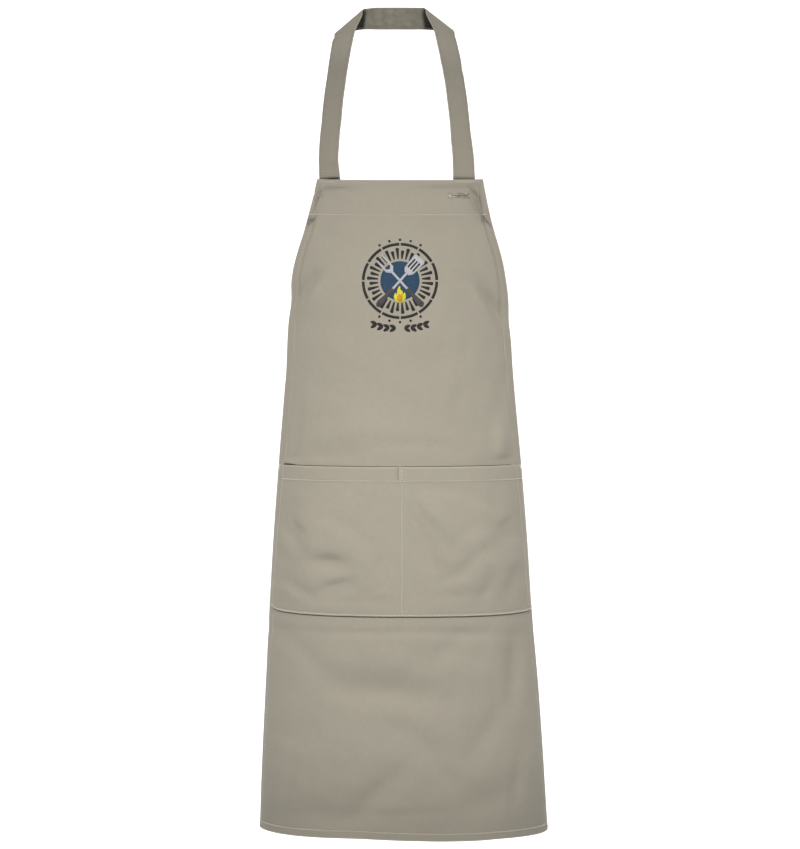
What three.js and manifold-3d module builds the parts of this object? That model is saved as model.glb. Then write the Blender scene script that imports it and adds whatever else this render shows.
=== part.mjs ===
// Bib apron in cotton twill, in its worn shape: a panel wrapped round the front
// of the body, a turned top hem, a full-width divided pocket, one neck strap
// and two waist ties that meet in a knot at the back.
// Millimetres, +Z up, the front faces -Y. The origin is at the back of the
// neck, on the middle of the strap.

import * as THREE from 'three';
import { mergeVertices } from 'three/addons/utils/BufferGeometryUtils.js';
import Module from 'manifold-3d';

// ---------------------------------------------------------------- dimensions
const CLOTH = 1.2;          // thickness of the panel and of the pocket
const HEM = 2.2;            // thickness of a turned side or bottom hem
const HEM_SPAN = 0.045;     // width of the side hems, as a part of the half-width
const BOTTOM_HEM = 9;       // height of the bottom hem
const FACING = 1.0;         // thickness of the turned top hem behind the bib
const FACING_END = -275.0;  // its lower edge, on the bib's stitch line
const GAP = 0.35;           // clearance between pieces that are sewn together
const TOP = -232;           // the bib's top edge, nominal
const TOP_MID = -233.1;     // the same edge in the middle
const TOP_END = -229.4;     // and at its two corners
const BOTTOM = -1096;       // the bottom edge
const CORNER = 8;           // rounding of the two bottom corners
const STRAP_T = 1.8;        // the neck strap, two layers
const FOLD_R = 4.5;         // radius of the strap's turn over the shoulder
const FOLD_DRIFT = 0.8;     // how far a turn carries it along the fold, per radius
const TIE_T = 1.6;          // the waist ties
const TIE_W = 26;
const TIE_Z = -421;         // height of the ties and of the side corners
const POCKET_TOP = -605.6;  // top edge of the pocket in the middle
const POCKET_HEM = 19;      // height of its turned hem
const POCKET_HEM_T = 1.9;   // thickness there
const POCKET_BOTTOM = -801;
const POCKET_SPLIT = 0.012; // where the middle seam is, as a part of the half-width
const POCKET_SEAM = 0.93;   // where the side seams hold the pocket
const POUCH = 11.5;          // how far each pouch stands off the panel
const HOLE = { x: 85.9, z: -250.8, long: 24.5, open: 1.5 };   // the buttonhole
const KNOT = { x: 7, y: 50, wide: 34, high: 30, deep: 15, round: 5 };

// The panel, one row for each height: its left and right edge, the front line,
// how far the edges lie behind that line, and the angle that the cloth has
// turned through at its edges.
const LEVELS = [
  { z:  -230, left: -101.2, right: 117.3, front: -155.0, wrap: 25.0, turn: 44 },
  { z:  -262, left: -109.0, right: 123.4, front: -160.3, wrap: 28.3, turn: 47 },
  { z:  -300, left: -119.3, right: 133.0, front: -166.3, wrap: 33.5, turn: 51 },
  { z:  -320, left: -125.6, right: 138.9, front: -169.1, wrap: 36.5, turn: 53 },
  { z:  -340, left: -131.2, right: 144.0, front: -171.3, wrap: 39.6, turn: 55 },
  { z:  -360, left: -134.9, right: 147.5, front: -172.9, wrap: 42.8, turn: 57 },
  { z:  -380, left: -136.2, right: 150.3, front: -174.2, wrap: 46.0, turn: 59 },
  { z:  -421, left: -139.5, right: 153.5, front: -174.9, wrap: 50.9, turn: 61 },
  { z:  -480, left: -143.0, right: 157.3, front: -173.9, wrap: 56.4, turn: 65 },
  { z:  -605, left: -153.4, right: 169.3, front: -172.0, wrap: 67.0, turn: 72 },
  { z:  -700, left: -160.6, right: 177.3, front: -173.5, wrap: 73.0, turn: 76 },
  { z:  -801, left: -166.8, right: 184.3, front: -175.0, wrap: 81.0, turn: 80 },
  { z:  -900, left: -172.1, right: 193.3, front: -175.5, wrap: 87.0, turn: 84 },
  { z: -1000, left: -177.3, right: 200.7, front: -175.0, wrap: 92.0, turn: 87 },
  { z: -1096, left: -181.2, right: 206.9, front: -174.0, wrap: 96.0, turn: 89 },
];

// Dents and folds: centre, full length and width, the slope of the long axis
// (degrees, anticlockwise as seen from the front) and the depth. A positive
// depth is a hollow, a negative one a ridge.
const FOLDS = [
  { on: 'panel',  x:  130, z:  -390, long:  62, wide: 20, slope:  -58, depth:  2.6 },
  { on: 'panel',  x:  121, z:  -402, long:  60, wide: 18, slope:  -58, depth: -1.4 },
  { on: 'panel',  x: -115, z:  -368, long:  62, wide: 20, slope:   56, depth:  2.4 },
  { on: 'panel',  x: -104, z:  -380, long:  60, wide: 18, slope:   56, depth: -1.2 },
  { on: 'panel',  x:  141, z:  -572, long:  56, wide: 20, slope:   90, depth: -1.6 },
  { on: 'panel',  x:   -6, z:  -899, long: 140, wide: 44, slope:   -6, depth:  2.6 },
  { on: 'panel',  x:  -29, z: -1027, long: 100, wide: 26, slope:   46, depth:  3.0 },
  { on: 'panel',  x:  -93, z: -1064, long:  80, wide: 26, slope:    0, depth:  2.0 },
  { on: 'panel',  x:  115, z: -1050, long:  70, wide: 26, slope:    4, depth:  2.0 },
  { on: 'panel',  x:  160, z:  -870, long:  76, wide: 24, slope:   90, depth:  2.4 },
  { on: 'pocket', x: -133, z:  -668, long:  76, wide: 24, slope:   90, depth:  2.4 },
  { on: 'pocket', x:  -86, z:  -722, long:  52, wide: 24, slope:    0, depth:  2.6 },
  { on: 'pocket', x:  -74, z:  -754, long:  56, wide: 20, slope:   17, depth:  2.2 },
  { on: 'pocket', x:   44, z:  -692, long: 100, wide: 24, slope:  -58, depth:  2.8 },
  { on: 'pocket', x:   62, z:  -678, long:  76, wide: 22, slope:  -49, depth: -1.6 },
  { on: 'pocket', x:  150, z:  -682, long:  46, wide: 26, slope:   30, depth:  2.2 },
  { on: 'pocket', x:  153, z:  -755, long:  56, wide: 22, slope:   64, depth:  2.4 },
];

// The pocket's bottom edge: how far it lies above its middle, against the part
// of the half-width from the middle seam.
const POCKET_CURVE = [
  { t: -1.00, up: 10.5 }, { t: -0.93, up: 7.0 }, { t: -0.84, up: 3.0 },
  { t: -0.70, up:  1.2 }, { t:  0.00, up: 0.0 }, { t:  0.80, up: 0.0 },
  { t:  0.92, up:  1.4 }, { t:  1.00, up: 5.0 },
];

// The neck strap up to the shoulder: x of the outer and inner edge on each
// side, and y and z of the outer and of the inner edge.
const STRAP = [
  { lo:  -99.2, li: -73.2, ri: 77.5, ro: 105.6, yo: -121, yi: -132.5, zo: -202.4, zi: -203.4 },
  { lo:  -97.9, li: -72.1, ri: 75.6, ro: 102.7, yo: -113, yi: -124.0, zo: -175.4, zi: -176.4 },
  { lo:  -95.7, li: -69.8, ri: 73.7, ro:  99.8, yo: -103, yi: -113.5, zo: -148.1, zi: -149.1 },
  { lo:  -93.3, li: -67.5, ri: 70.9, ro:  97.2, yo:  -91, yi: -101.0, zo: -120.4, zi: -121.5 },
  { lo:  -90.1, li: -64.3, ri: 67.7, ro:  93.5, yo:  -78, yi:  -87.0, zo:  -92.4, zi:  -93.5 },
  { lo:  -86.7, li: -60.3, ri: 62.8, ro:  89.5, yo:  -62, yi:  -69.5, zo:  -63.9, zi:  -64.8 },
  { lo:  -83.9, li: -56.8, ri: 58.6, ro:  85.3, yo:  -49, yi:  -55.0, zo:  -42.1, zi:  -42.9 },
  { lo:  -82.9, li: -52.0, ri: 53.4, ro:  84.0, yo:  -41, yi:  -42.5, zo:  -35.0, zi:  -20.5 },
];
const STRAP_FOOT = { lo: -101.0, li: -72.5, ri: 79.6, ro: 109.4, top: -231, end: -243 };
const SHOULDER = {           // the outer and inner end of the turn on each side
  left:  { outer: [-80.2, -28, -23.2], inner: [-42.2, -24, 9.0] },
  right: { outer: [ 81.3, -28, -23.2], inner: [ 41.3, -24, 9.4] },
};
const NAPE = [               // behind the neck: upper and lower edge
  { xu: 27, yu: -11.0, zu: 13.2, xl: 45, yl: -7.0, zl: -15.6 },
  { xu: 14, yu:  -5.6, zu: 14.0, xl: 20, yl:  0.0, zl: -14.5 },
  { xu:  0, yu:  -3.4, zu: 14.4, xl:  0, yl:  1.8, zl: -14.2 },
];

// The waist ties, seen from above, from the side corner to the knot.
const TIE = [
  { x: 141.2, y: -106 }, { x: 143.5, y: -78 }, { x: 140.5, y: -40 },
  { x: 123.0, y:    2 }, { x:  90.0, y:  33 }, { x:  52.0, y:  46 },
];
const TAIL = [               // the free ends: from the knot's middle, and down
  { x: 15.0, y: 0.0, down:  15.5 }, { x: 17.0, y: 1.5, down: 60 },
  { x: 20.5, y: 2.0, down: 120 }, { x: 22.0, y: 0.5, down: 180 }, { x: 22.5, y: 0.0, down: 245 },
];

// ------------------------------------------------------------------- helpers
const rad = (deg) => deg * Math.PI / 180;
const vec = (a) => new THREE.Vector3(a[0], a[1], a[2]);
const clamp = (v, lo, hi) => Math.min(hi, Math.max(lo, v));
const ease = (v) => { const c = clamp(v, 0, 1); return c * c * (3 - 2 * c); };

// Smooth value of a column of a table at v: a cubic through the rows.
function column(table, by, key, v) {
  const up = table[0][by] < table[table.length - 1][by];
  const rows = up ? table : [...table].reverse();
  const n = rows.length;
  if (v <= rows[0][by]) return rows[0][key];
  if (v >= rows[n - 1][by]) return rows[n - 1][key];
  let i = 0;
  while (rows[i + 1][by] < v) i += 1;
  const slope = (k) => (rows[k + 1][key] - rows[k][key]) / (rows[k + 1][by] - rows[k][by]);
  const tangent = (k) => {
    if (k === 0) return slope(0);
    if (k === n - 1) return slope(n - 2);
    return (slope(k - 1) + slope(k)) / 2;
  };
  const h = rows[i + 1][by] - rows[i][by];
  const s = (v - rows[i][by]) / h;
  const a = rows[i][key];
  const b = rows[i + 1][key];
  const s2 = s * s;
  const s3 = s2 * s;
  return a * (2 * s3 - 3 * s2 + 1) + b * (3 * s2 - 2 * s3)
    + h * (tangent(i) * (s3 - 2 * s2 + s) + tangent(i + 1) * (s3 - s2));
}

// How deep the folds are at a place of the panel or of the pocket.
function foldDepth(on, x, z) {
  let sum = 0;
  for (const f of FOLDS) {
    if (f.on !== on) continue;
    const c = Math.cos(rad(f.slope));
    const s = Math.sin(rad(f.slope));
    const along = (x - f.x) * c + (z - f.z) * s;
    const across = -(x - f.x) * s + (z - f.z) * c;
    sum += f.depth * Math.exp(-4 * ((along / f.long) ** 2 + (across / f.wide) ** 2));
  }
  return sum;
}

// The panel's front face with no folds: t runs from -1 at the left edge to 1.
function plain(t, z) {
  const left = column(LEVELS, 'z', 'left', z);
  const right = column(LEVELS, 'z', 'right', z);
  const front = column(LEVELS, 'z', 'front', z);
  const wrap = column(LEVELS, 'z', 'wrap', z);
  const turn = rad(column(LEVELS, 'z', 'turn', z));
  const a = t * turn;
  return new THREE.Vector3(
    (left + right) / 2 + (right - left) / 2 * Math.sin(a) / Math.sin(turn),
    front + wrap * (1 - Math.cos(a)) / (1 - Math.cos(turn)),
    z,
  );
}

// Outward normal of that face.
function outward(t, z) {
  const e = 0.01;
  const du = plain(t + e, z).sub(plain(t - e, z));
  const dz = plain(t, z + 1).sub(plain(t, z - 1));
  return du.cross(dz).normalize();
}

// A point at a distance in front of (positive) or behind the panel's front
// face. The panel's own folds die away under the pocket and in the bib's hem.
function off(t, z, distance) {
  const p = plain(t, z);
  const n = outward(t, z);
  const quiet = ease((-330 - z) / 30)
    * (1 - ease((z + 820) / 12) * (1 - ease((z + 600) / 12)));
  return p.addScaledVector(n, distance - foldDepth('panel', p.x, z) * quiet);
}

const topEdge = (t) => TOP_MID + (TOP_END - TOP_MID) * t * t;
function bottomEdge(t, z) {           // half-length of the hem from t to the corner
  const edge = plain(Math.sign(t) || 1, z).distanceTo(plain(t, z));
  if (edge >= CORNER) return BOTTOM;
  const k = 1 - edge / CORNER;
  return BOTTOM + CORNER * (1 - Math.sqrt(Math.max(0, 1 - k * k)));
}

// A closed wall from two grids of points, front[i][j] and back[i][j].
function wall(front, back) {
  const rows = front.length;
  const cols = front[0].length;
  const pos = [];
  const index = [];
  for (const grid of [front, back]) {
    for (const row of grid) for (const p of row) pos.push(p.x, p.y, p.z);
  }
  const F = (i, j) => i * cols + j;
  const B = (i, j) => rows * cols + i * cols + j;
  const quad = (a, b, c, d) => index.push(a, b, c, a, c, d);
  for (let i = 0; i < rows - 1; i += 1) {
    for (let j = 0; j < cols - 1; j += 1) {
      quad(F(i, j), F(i + 1, j), F(i + 1, j + 1), F(i, j + 1));
      quad(B(i, j), B(i, j + 1), B(i + 1, j + 1), B(i + 1, j));
    }
  }
  for (let j = 0; j < cols - 1; j += 1) {
    quad(F(0, j), F(0, j + 1), B(0, j + 1), B(0, j));
    quad(F(rows - 1, j), B(rows - 1, j), B(rows - 1, j + 1), F(rows - 1, j + 1));
  }
  for (let i = 0; i < rows - 1; i += 1) {
    quad(F(i, 0), B(i, 0), B(i + 1, 0), F(i + 1, 0));
    quad(F(i, cols - 1), F(i + 1, cols - 1), B(i + 1, cols - 1), B(i, cols - 1));
  }
  const at = (k) => new THREE.Vector3(pos[3 * k], pos[3 * k + 1], pos[3 * k + 2]);
  let volume = 0;
  for (let k = 0; k < index.length; k += 3) {
    volume += at(index[k]).dot(at(index[k + 1]).cross(at(index[k + 2])));
  }
  if (volume < 0) index.reverse();    // the faces point out
  const g = new THREE.BufferGeometry();
  g.setAttribute('position', new THREE.Float32BufferAttribute(pos, 3));
  g.setIndex(index);
  return g;
}

// A flat strap through stations { a, b }, its two edges, and of one thickness.
function ribbon(stations, thickness, steps, lanes = 2) {
  const ca = new THREE.CatmullRomCurve3(stations.map((s) => s.a), false, 'centripetal');
  const cb = new THREE.CatmullRomCurve3(stations.map((s) => s.b), false, 'centripetal');
  const spans = stations.length - 1;
  const us = [];
  for (let i = 0; i < spans; i += 1) {
    const k = stations[i].steps || steps;
    for (let j = 0; j < k; j += 1) us.push((i + j / k) / spans);
  }
  us.push(1);
  const front = [];
  const back = [];
  for (const u of us) {
    const a = ca.getPoint(u);
    const b = cb.getPoint(u);
    const e = 0.25 / spans;
    const u0 = Math.max(0, u - e);
    const u1 = Math.min(1, u + e);
    const along = ca.getPoint(u1).add(cb.getPoint(u1)).sub(ca.getPoint(u0)).sub(cb.getPoint(u0));
    const n = new THREE.Vector3().subVectors(b, a).cross(along).normalize();
    const fr = [];
    const bk = [];
    for (let j = 0; j <= lanes; j += 1) {
      const p = a.clone().lerp(b, j / lanes);
      fr.push(p.clone().addScaledVector(n, thickness / 2));
      bk.push(p.clone().addScaledVector(n, -thickness / 2));
    }
    front.push(fr);
    back.push(bk);
  }
  return wall(front, back);
}

// ---------------------------------------------------------------- the panel
const COLS = 24;
const EDGE = [0, HEM_SPAN, HEM_SPAN + 0.015];
const T = [];
for (const e of EDGE) T.push(-1 + e);
for (let j = 1; j < COLS; j += 1) {
  const inner = 1 - EDGE[2];
  T.push(-inner + 2 * inner * j / COLS);
}
for (const e of [...EDGE].reverse()) T.push(1 - e);
T.push(POCKET_SPLIT - 0.02, POCKET_SPLIT + 0.02);
T.sort((a, b) => a - b);
const seamed = T.filter((t) => Math.abs(t) > 1e-9);    // the seam's pair stands in for 0

const ROWS = [TOP, -241, -250, -262, FACING_END - 1];
for (const [to, n] of [[-340, 3], [-421, 5], [-594, 6], [-605.6, 1], [-624.6, 1],
  [-801, 8], [-812, 1], [BOTTOM + BOTTOM_HEM + 2, 11], [BOTTOM + BOTTOM_HEM, 1], [BOTTOM, 2]]) {
  const from = ROWS[ROWS.length - 1];
  for (let k = 1; k <= n; k += 1) ROWS.push(from + (to - from) * k / n);
}

function panelZ(t, z) {               // lets the first rows follow the top edge
  const top = clamp((z - (FACING_END - 1)) / (TOP - (FACING_END - 1)), 0, 1);
  let out = z + (topEdge(t) - TOP) * top;
  const low = clamp((BOTTOM + CORNER + 1 - z) / (CORNER + 1), 0, 1);
  out += (bottomEdge(t, BOTTOM) - BOTTOM) * low;
  return out;
}

function hemThickness(t, z) {
  const side = 1 - Math.abs(t) <= HEM_SPAN + 1e-6;
  const bottom = z <= BOTTOM + BOTTOM_HEM + 1e-6;
  return side || bottom ? HEM : CLOTH;
}

function panel() {
  const front = [];
  const back = [];
  for (const z of ROWS) {
    front.push(seamed.map((t) => off(t, panelZ(t, z), 0)));
    back.push(seamed.map((t) => off(t, panelZ(t, z), -hemThickness(t, z))));
  }
  return wall(front, back);
}

// The turned top hem, behind the bib and between the two side hems.
function facing() {
  const ts = seamed.filter((t) => Math.abs(t) < 1 - HEM_SPAN - 0.02);
  const end = 1 - HEM_SPAN - 0.03;
  const cols = [-end, ...ts.filter((t) => Math.abs(t) < end - 0.01), end];
  const rows = ROWS.filter((z) => z >= FACING_END - 1);
  rows[rows.length - 1] = FACING_END;
  const at = (t, z, d) => off(t, panelZ(t, z) - (z === TOP ? 1.2 : 0), d);
  return wall(
    rows.map((z) => cols.map((t) => at(t, z, -CLOTH - GAP))),
    rows.map((z) => cols.map((t) => at(t, z, -CLOTH - GAP - FACING))),
  );
}

// ---------------------------------------------------------------- the pocket
function pouch(t, z, top, low) {      // clear distance from the panel
  const half = t < POCKET_SPLIT
    ? (POCKET_SPLIT - 0.02 - t) / (POCKET_SEAM + POCKET_SPLIT - 0.02)
    : (t - POCKET_SPLIT - 0.02) / (POCKET_SEAM - POCKET_SPLIT - 0.02);
  if (half <= 0 || half >= 1) return GAP;
  const across = Math.sin(Math.PI * half) ** 0.9;
  const up = clamp((z - low) / (top - low), 0, 1);
  const lift = Math.sin(Math.PI / 2 * clamp(up * 1.5, 0, 1)) * (1 - 0.12 * ease((up - 0.6) / 0.4));
  return GAP + POUCH * across * lift;
}

function pocket() {
  const ts = [-0.985, ...seamed.slice(1, -1), 0.985];
  const zs = ROWS.filter((z) => z <= -605.5 && z >= -801.5);
  const front = [];
  const back = [];
  const n = zs.length - 1;
  zs.forEach((z, k) => {
    const fr = [];
    const bk = [];
    for (const t of ts) {
      const low = POCKET_BOTTOM + column(POCKET_CURVE, 't', 'up', t);
      const top = POCKET_TOP + 2.2 * t * t;
      const share = (z - POCKET_BOTTOM) / (POCKET_TOP - POCKET_BOTTOM);
      const zz = low + (top - low) * share;
      const hem = zz > top - POCKET_HEM - 0.5 ? POCKET_HEM_T : CLOTH;
      const p = plain(t, zz);
      const g = Math.max(GAP, pouch(t, zz, top, low)
        - foldDepth('pocket', p.x, zz) * ease(k / 2) * ease((n - k) / 2));
      fr.push(off(t, zz, g + hem));
      bk.push(off(t, zz, g));
    }
    front.push(fr);
    back.push(bk);
  });
  return wall(front, back);
}

// ---------------------------------------------------------------- the strap
function tFor(x, z) {                 // t of the panel where its front has this x
  let lo = -1.3;
  let hi = 1.3;
  for (let i = 0; i < 40; i += 1) {
    const mid = (lo + hi) / 2;
    if (plain(mid, z).x < x) lo = mid; else hi = mid;
  }
  return (lo + hi) / 2;
}

function behindBib(x, z) {            // the middle of the strap's foot
  return off(tFor(x, z), z, -(HEM + GAP + 0.45 + STRAP_T / 2));
}

function turn(side, angle) {          // a ruling of the turn over the shoulder
  const o = vec(side.outer);
  const i = vec(side.inner);
  const along = i.clone().sub(o).normalize();
  const up = along.clone().cross(new THREE.Vector3(0, 1, 0)).normalize();
  if (up.z < 0) up.negate();
  const rear = up.clone().cross(along).normalize();
  if (rear.y < 0) rear.negate();
  const move = up.clone().multiplyScalar(FOLD_R * (Math.cos(angle) - 1))
    .addScaledVector(rear, FOLD_R * Math.sin(angle))
    .addScaledVector(along, FOLD_R * FOLD_DRIFT * angle);
  return { outer: o.add(move), inner: i.add(move) };
}

function strap() {
  const stations = [];
  const foot = (side, z) => (side < 0
    ? { a: behindBib(STRAP_FOOT.lo, z), b: behindBib(STRAP_FOOT.li, z) }
    : { a: behindBib(STRAP_FOOT.ri, z), b: behindBib(STRAP_FOOT.ro, z) });
  stations.push({ ...foot(-1, STRAP_FOOT.end), steps: 1 });
  stations.push({ ...foot(-1, STRAP_FOOT.top), steps: 2 });
  for (const r of STRAP) {
    stations.push({ a: vec([r.lo, r.yo, r.zo]), b: vec([r.li, r.yi, r.zi]), steps: 2 });
  }
  for (const deg of [-85, -42, 0, 42, 85]) {
    const t = turn(SHOULDER.left, rad(deg));
    stations.push({ a: t.outer, b: t.inner, steps: deg === 85 ? 3 : 2 });
  }
  for (const r of NAPE) {
    stations.push({ a: vec([-r.xl, r.yl, r.zl]), b: vec([-r.xu, r.yu, r.zu]), steps: 2 });
  }
  for (const r of [...NAPE].reverse().slice(1)) {
    stations.push({ a: vec([r.xl, r.yl, r.zl]), b: vec([r.xu, r.yu, r.zu]), steps: 2 });
  }
  stations[stations.length - 1].steps = 3;
  for (const deg of [85, 42, 0, -42, -85]) {
    const t = turn(SHOULDER.right, rad(deg));
    stations.push({ a: t.outer, b: t.inner, steps: 2 });
  }
  for (const r of [...STRAP].reverse()) {
    stations.push({ a: vec([r.ro, r.yo, r.zo]), b: vec([r.ri, r.yi, r.zi]), steps: 2 });
  }
  const end = (z) => { const f = foot(1, z); return { a: f.b, b: f.a, steps: 1 }; };
  stations.push(end(STRAP_FOOT.top));
  stations.push(end(STRAP_FOOT.end));
  return ribbon(stations, STRAP_T, 2, 2);
}

// ---------------------------------------------------------------- the ties
function tie(side) {
  const stations = [];
  const add = (p, q) => {             // upper and lower edge
    stations.push(side > 0 ? { a: p, b: q } : { a: q, b: p });
  };
  const depth = -(HEM + GAP + 1.0 + TIE_T / 2);
  for (const t of [0.90, 0.985]) {
    add(off(side * t, TIE_Z + TIE_W / 2, depth), off(side * t, TIE_Z - TIE_W / 2, depth));
  }
  for (const r of TIE) {
    const x = KNOT.x + side * r.x;
    add(vec([x, r.y, TIE_Z + TIE_W / 2]), vec([x, r.y, TIE_Z - TIE_W / 2]));
  }
  const x = KNOT.x + side * (KNOT.wide / 2 + GAP);
  add(vec([x, KNOT.y - 1, TIE_Z + TIE_W / 2 - 3]), vec([x, KNOT.y - 1, TIE_Z - TIE_W / 2 + 3]));
  return ribbon(stations, TIE_T, 3, 1);
}

function tail(side) {
  const stations = TAIL.map((r, k) => {
    const half = k === 0 ? TIE_W / 2 - 1 : TIE_W / 2;
    const x = KNOT.x + side * r.x;
    const y = KNOT.y + r.y;
    const z = TIE_Z - r.down;
    return { a: vec([x - half, y, z]), b: vec([x + half, y, z]) };
  });
  return ribbon(stations, TIE_T, 3, 1);
}

function knot() {
  const w = KNOT.wide / 2 - KNOT.round;
  const h = KNOT.high / 2 - KNOT.round;
  const shape = new THREE.Shape();
  shape.absellipse(-w + 3, h - 3, 3, 3, Math.PI, Math.PI / 2, true);
  shape.absellipse(w - 3, h - 3, 3, 3, Math.PI / 2, 0, true);
  shape.absellipse(w - 3, -h + 3, 3, 3, 0, -Math.PI / 2, true);
  shape.absellipse(-w + 3, -h + 3, 3, 3, -Math.PI / 2, -Math.PI, true);
  shape.closePath();
  const g = new THREE.ExtrudeGeometry(shape, {
    depth: KNOT.deep - 2 * KNOT.round,
    bevelEnabled: true,
    bevelThickness: KNOT.round,
    bevelSize: KNOT.round,
    bevelSegments: 3,
    curveSegments: 3,
  });
  g.translate(0, 0, -(KNOT.deep - 2 * KNOT.round) / 2);
  g.rotateX(Math.PI / 2);
  g.translate(KNOT.x, KNOT.y, TIE_Z);
  return g;
}

// ---------------------------------------------------------------- buttonhole
const wasm = await Module();
wasm.setup();

function solid(geometry) {
  const g = geometry.clone();
  g.deleteAttribute('normal');
  g.deleteAttribute('uv');
  const m = mergeVertices(g, 1e-4);
  return new wasm.Manifold(new wasm.Mesh({
    numProp: 3,
    vertProperties: new Float32Array(m.attributes.position.array),
    triVerts: new Uint32Array(m.index.array),
  }));
}

function geometryOf(manifold) {
  const m = manifold.getMesh();
  const g = new THREE.BufferGeometry();
  const pos = new Float32Array(m.numVert * 3);
  for (let i = 0; i < m.numVert; i += 1) {
    for (let k = 0; k < 3; k += 1) pos[3 * i + k] = m.vertProperties[m.numProp * i + k];
  }
  g.setAttribute('position', new THREE.BufferAttribute(pos, 3));
  g.setIndex(new THREE.BufferAttribute(new Uint32Array(m.triVerts), 1));
  return g;
}

function withButtonhole(geometry) {
  const slot = new THREE.BoxGeometry(HOLE.long, 40, HOLE.open);
  slot.translate(HOLE.x, plain(tFor(HOLE.x, HOLE.z), HOLE.z).y, HOLE.z);
  return geometryOf(solid(geometry).subtract(solid(slot)));
}

// ---------------------------------------------------------------- assembly
const twill = (name, hex, rough) => new THREE.MeshStandardMaterial({
  name, color: hex, roughness: rough, metalness: 0,
});
const group = new THREE.Group();
const piece = (name, geometry, material) => {
  geometry.computeVertexNormals();
  const mesh = new THREE.Mesh(geometry, material);
  mesh.name = name;
  group.add(mesh);
};
const olive = twill('twill', 0xa8a292, 0.9);
const shade = twill('twill_strap', 0x989180, 0.9);

piece('apron_body', withButtonhole(panel()), olive);
piece('bib_facing', withButtonhole(facing()), olive);
piece('pocket', pocket(), olive);
piece('neck_strap', strap(), shade);
piece('waist_tie_left', tie(-1), shade);
piece('waist_tie_right', tie(1), shade);
piece('tie_knot', knot(), shade);
piece('tie_tail_left', tail(-1), shade);
piece('tie_tail_right', tail(1), shade);

export default group;
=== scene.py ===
"""Looks of the bib apron: cotton twill cloth in its worn shape.

The shapes follow the same tables as the CAD part, in millimetres, and are
turned into metres when a mesh is made.
"""
import math

import bpy
import numpy as np
from mathutils.geometry import delaunay_2d_cdt
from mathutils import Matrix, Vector


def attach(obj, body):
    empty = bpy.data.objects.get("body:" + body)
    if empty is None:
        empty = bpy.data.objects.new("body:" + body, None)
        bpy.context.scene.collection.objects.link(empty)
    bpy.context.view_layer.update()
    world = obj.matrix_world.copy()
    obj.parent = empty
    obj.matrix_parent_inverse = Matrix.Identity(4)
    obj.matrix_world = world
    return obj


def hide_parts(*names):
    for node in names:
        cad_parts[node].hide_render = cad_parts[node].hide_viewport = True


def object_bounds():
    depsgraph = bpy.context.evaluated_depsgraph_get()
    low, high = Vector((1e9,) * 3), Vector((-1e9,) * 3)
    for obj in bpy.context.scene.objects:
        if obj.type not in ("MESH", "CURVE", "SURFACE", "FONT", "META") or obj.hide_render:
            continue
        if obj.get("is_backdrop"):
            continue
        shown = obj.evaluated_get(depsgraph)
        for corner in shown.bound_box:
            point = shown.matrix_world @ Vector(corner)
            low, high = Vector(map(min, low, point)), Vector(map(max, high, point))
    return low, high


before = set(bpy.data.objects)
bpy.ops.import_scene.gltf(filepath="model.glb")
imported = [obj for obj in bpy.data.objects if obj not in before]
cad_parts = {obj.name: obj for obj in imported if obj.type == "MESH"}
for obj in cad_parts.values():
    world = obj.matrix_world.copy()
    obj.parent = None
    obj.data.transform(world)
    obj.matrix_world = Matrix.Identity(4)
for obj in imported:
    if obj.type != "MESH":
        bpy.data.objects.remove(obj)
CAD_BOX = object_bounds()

# ------------------------------------------------------------------ dimensions
CLOTH, HEM, FACING, GAP = 1.2, 2.2, 1.0, 0.35
TOP, TOP_MID, TOP_END = -232.0, -231.2, -228.6
BOTTOM, CORNER = -1096.0, 8.0
BAND_LINE = -275.0             # stitch line of the bib's turned top hem
BAND_DEEP = 45.8               # from the top edge down to that line
STRAP_T, FOLD_R, FOLD_DRIFT = 1.8, 4.5, 0.8
TIE_T, TIE_W, TIE_Z = 1.6, 26.0, -421.0
POCKET_TOP, POCKET_BOTTOM = -605.6, -800.3
POCKET_SPLIT, POCKET_SEAM, POUCH = 0.012, 0.93, 11.5
KNOT = dict(x=7.0, y=50.0, wide=34.0, high=30.0, deep=15.0)
PITCH = 3.6                    # from stitch to stitch
# the strap and ties are finished: two layers sewn as one
WORLD_COLOUR, WORLD_LEVEL = (1.0, 0.995, 0.985), 0.40
BACK_GLOW = 0.85
SOFTBOXES = [
    # name, place, aim, size, power, colour, width of the beam in degrees
    ("key", (-0.25, -2.55, 1.75), (0.02, -0.17, -0.70), (0.50, 0.50), 1.58, (1.0, 0.985, 0.96), 30),
    ("left_fill", (-1.05, -1.25, -0.60), (0.0, -0.12, -0.60), (0.9, 0.45), 1.58, (1.0, 0.99, 0.975), 90),
    ("right_fill", (1.10, -1.25, -0.55), (0.0, -0.12, -0.55), (0.9, 0.45), 1.74, (1.0, 0.99, 0.975), 90),
]
rng = np.random.default_rng(71)

# z, left, right, front, wrap, turn: one row for each height of the panel
LEVELS = np.array([
    (-230, -101.2, 117.3, -155.0, 25.0, 44), (-262, -109.0, 123.4, -160.3, 28.3, 47),
    (-300, -119.3, 133.0, -166.3, 33.5, 51), (-320, -125.6, 138.9, -169.1, 36.5, 53),
    (-340, -131.2, 144.0, -171.3, 39.6, 55), (-360, -134.9, 147.5, -172.9, 42.8, 57),
    (-380, -136.2, 150.3, -174.2, 46.0, 59), (-421, -139.5, 153.5, -174.9, 50.9, 61),
    (-480, -143.0, 157.3, -173.9, 56.4, 65), (-605, -153.4, 169.3, -172.0, 67.0, 72),
    (-700, -160.6, 177.3, -173.5, 73.0, 76), (-801, -166.8, 184.3, -175.0, 81.0, 80),
    (-900, -172.1, 193.3, -175.5, 87.0, 84), (-1000, -177.3, 200.7, -175.0, 92.0, 87),
    (-1096, -181.2, 206.9, -174.0, 96.0, 89)], float)[::-1]

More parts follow.
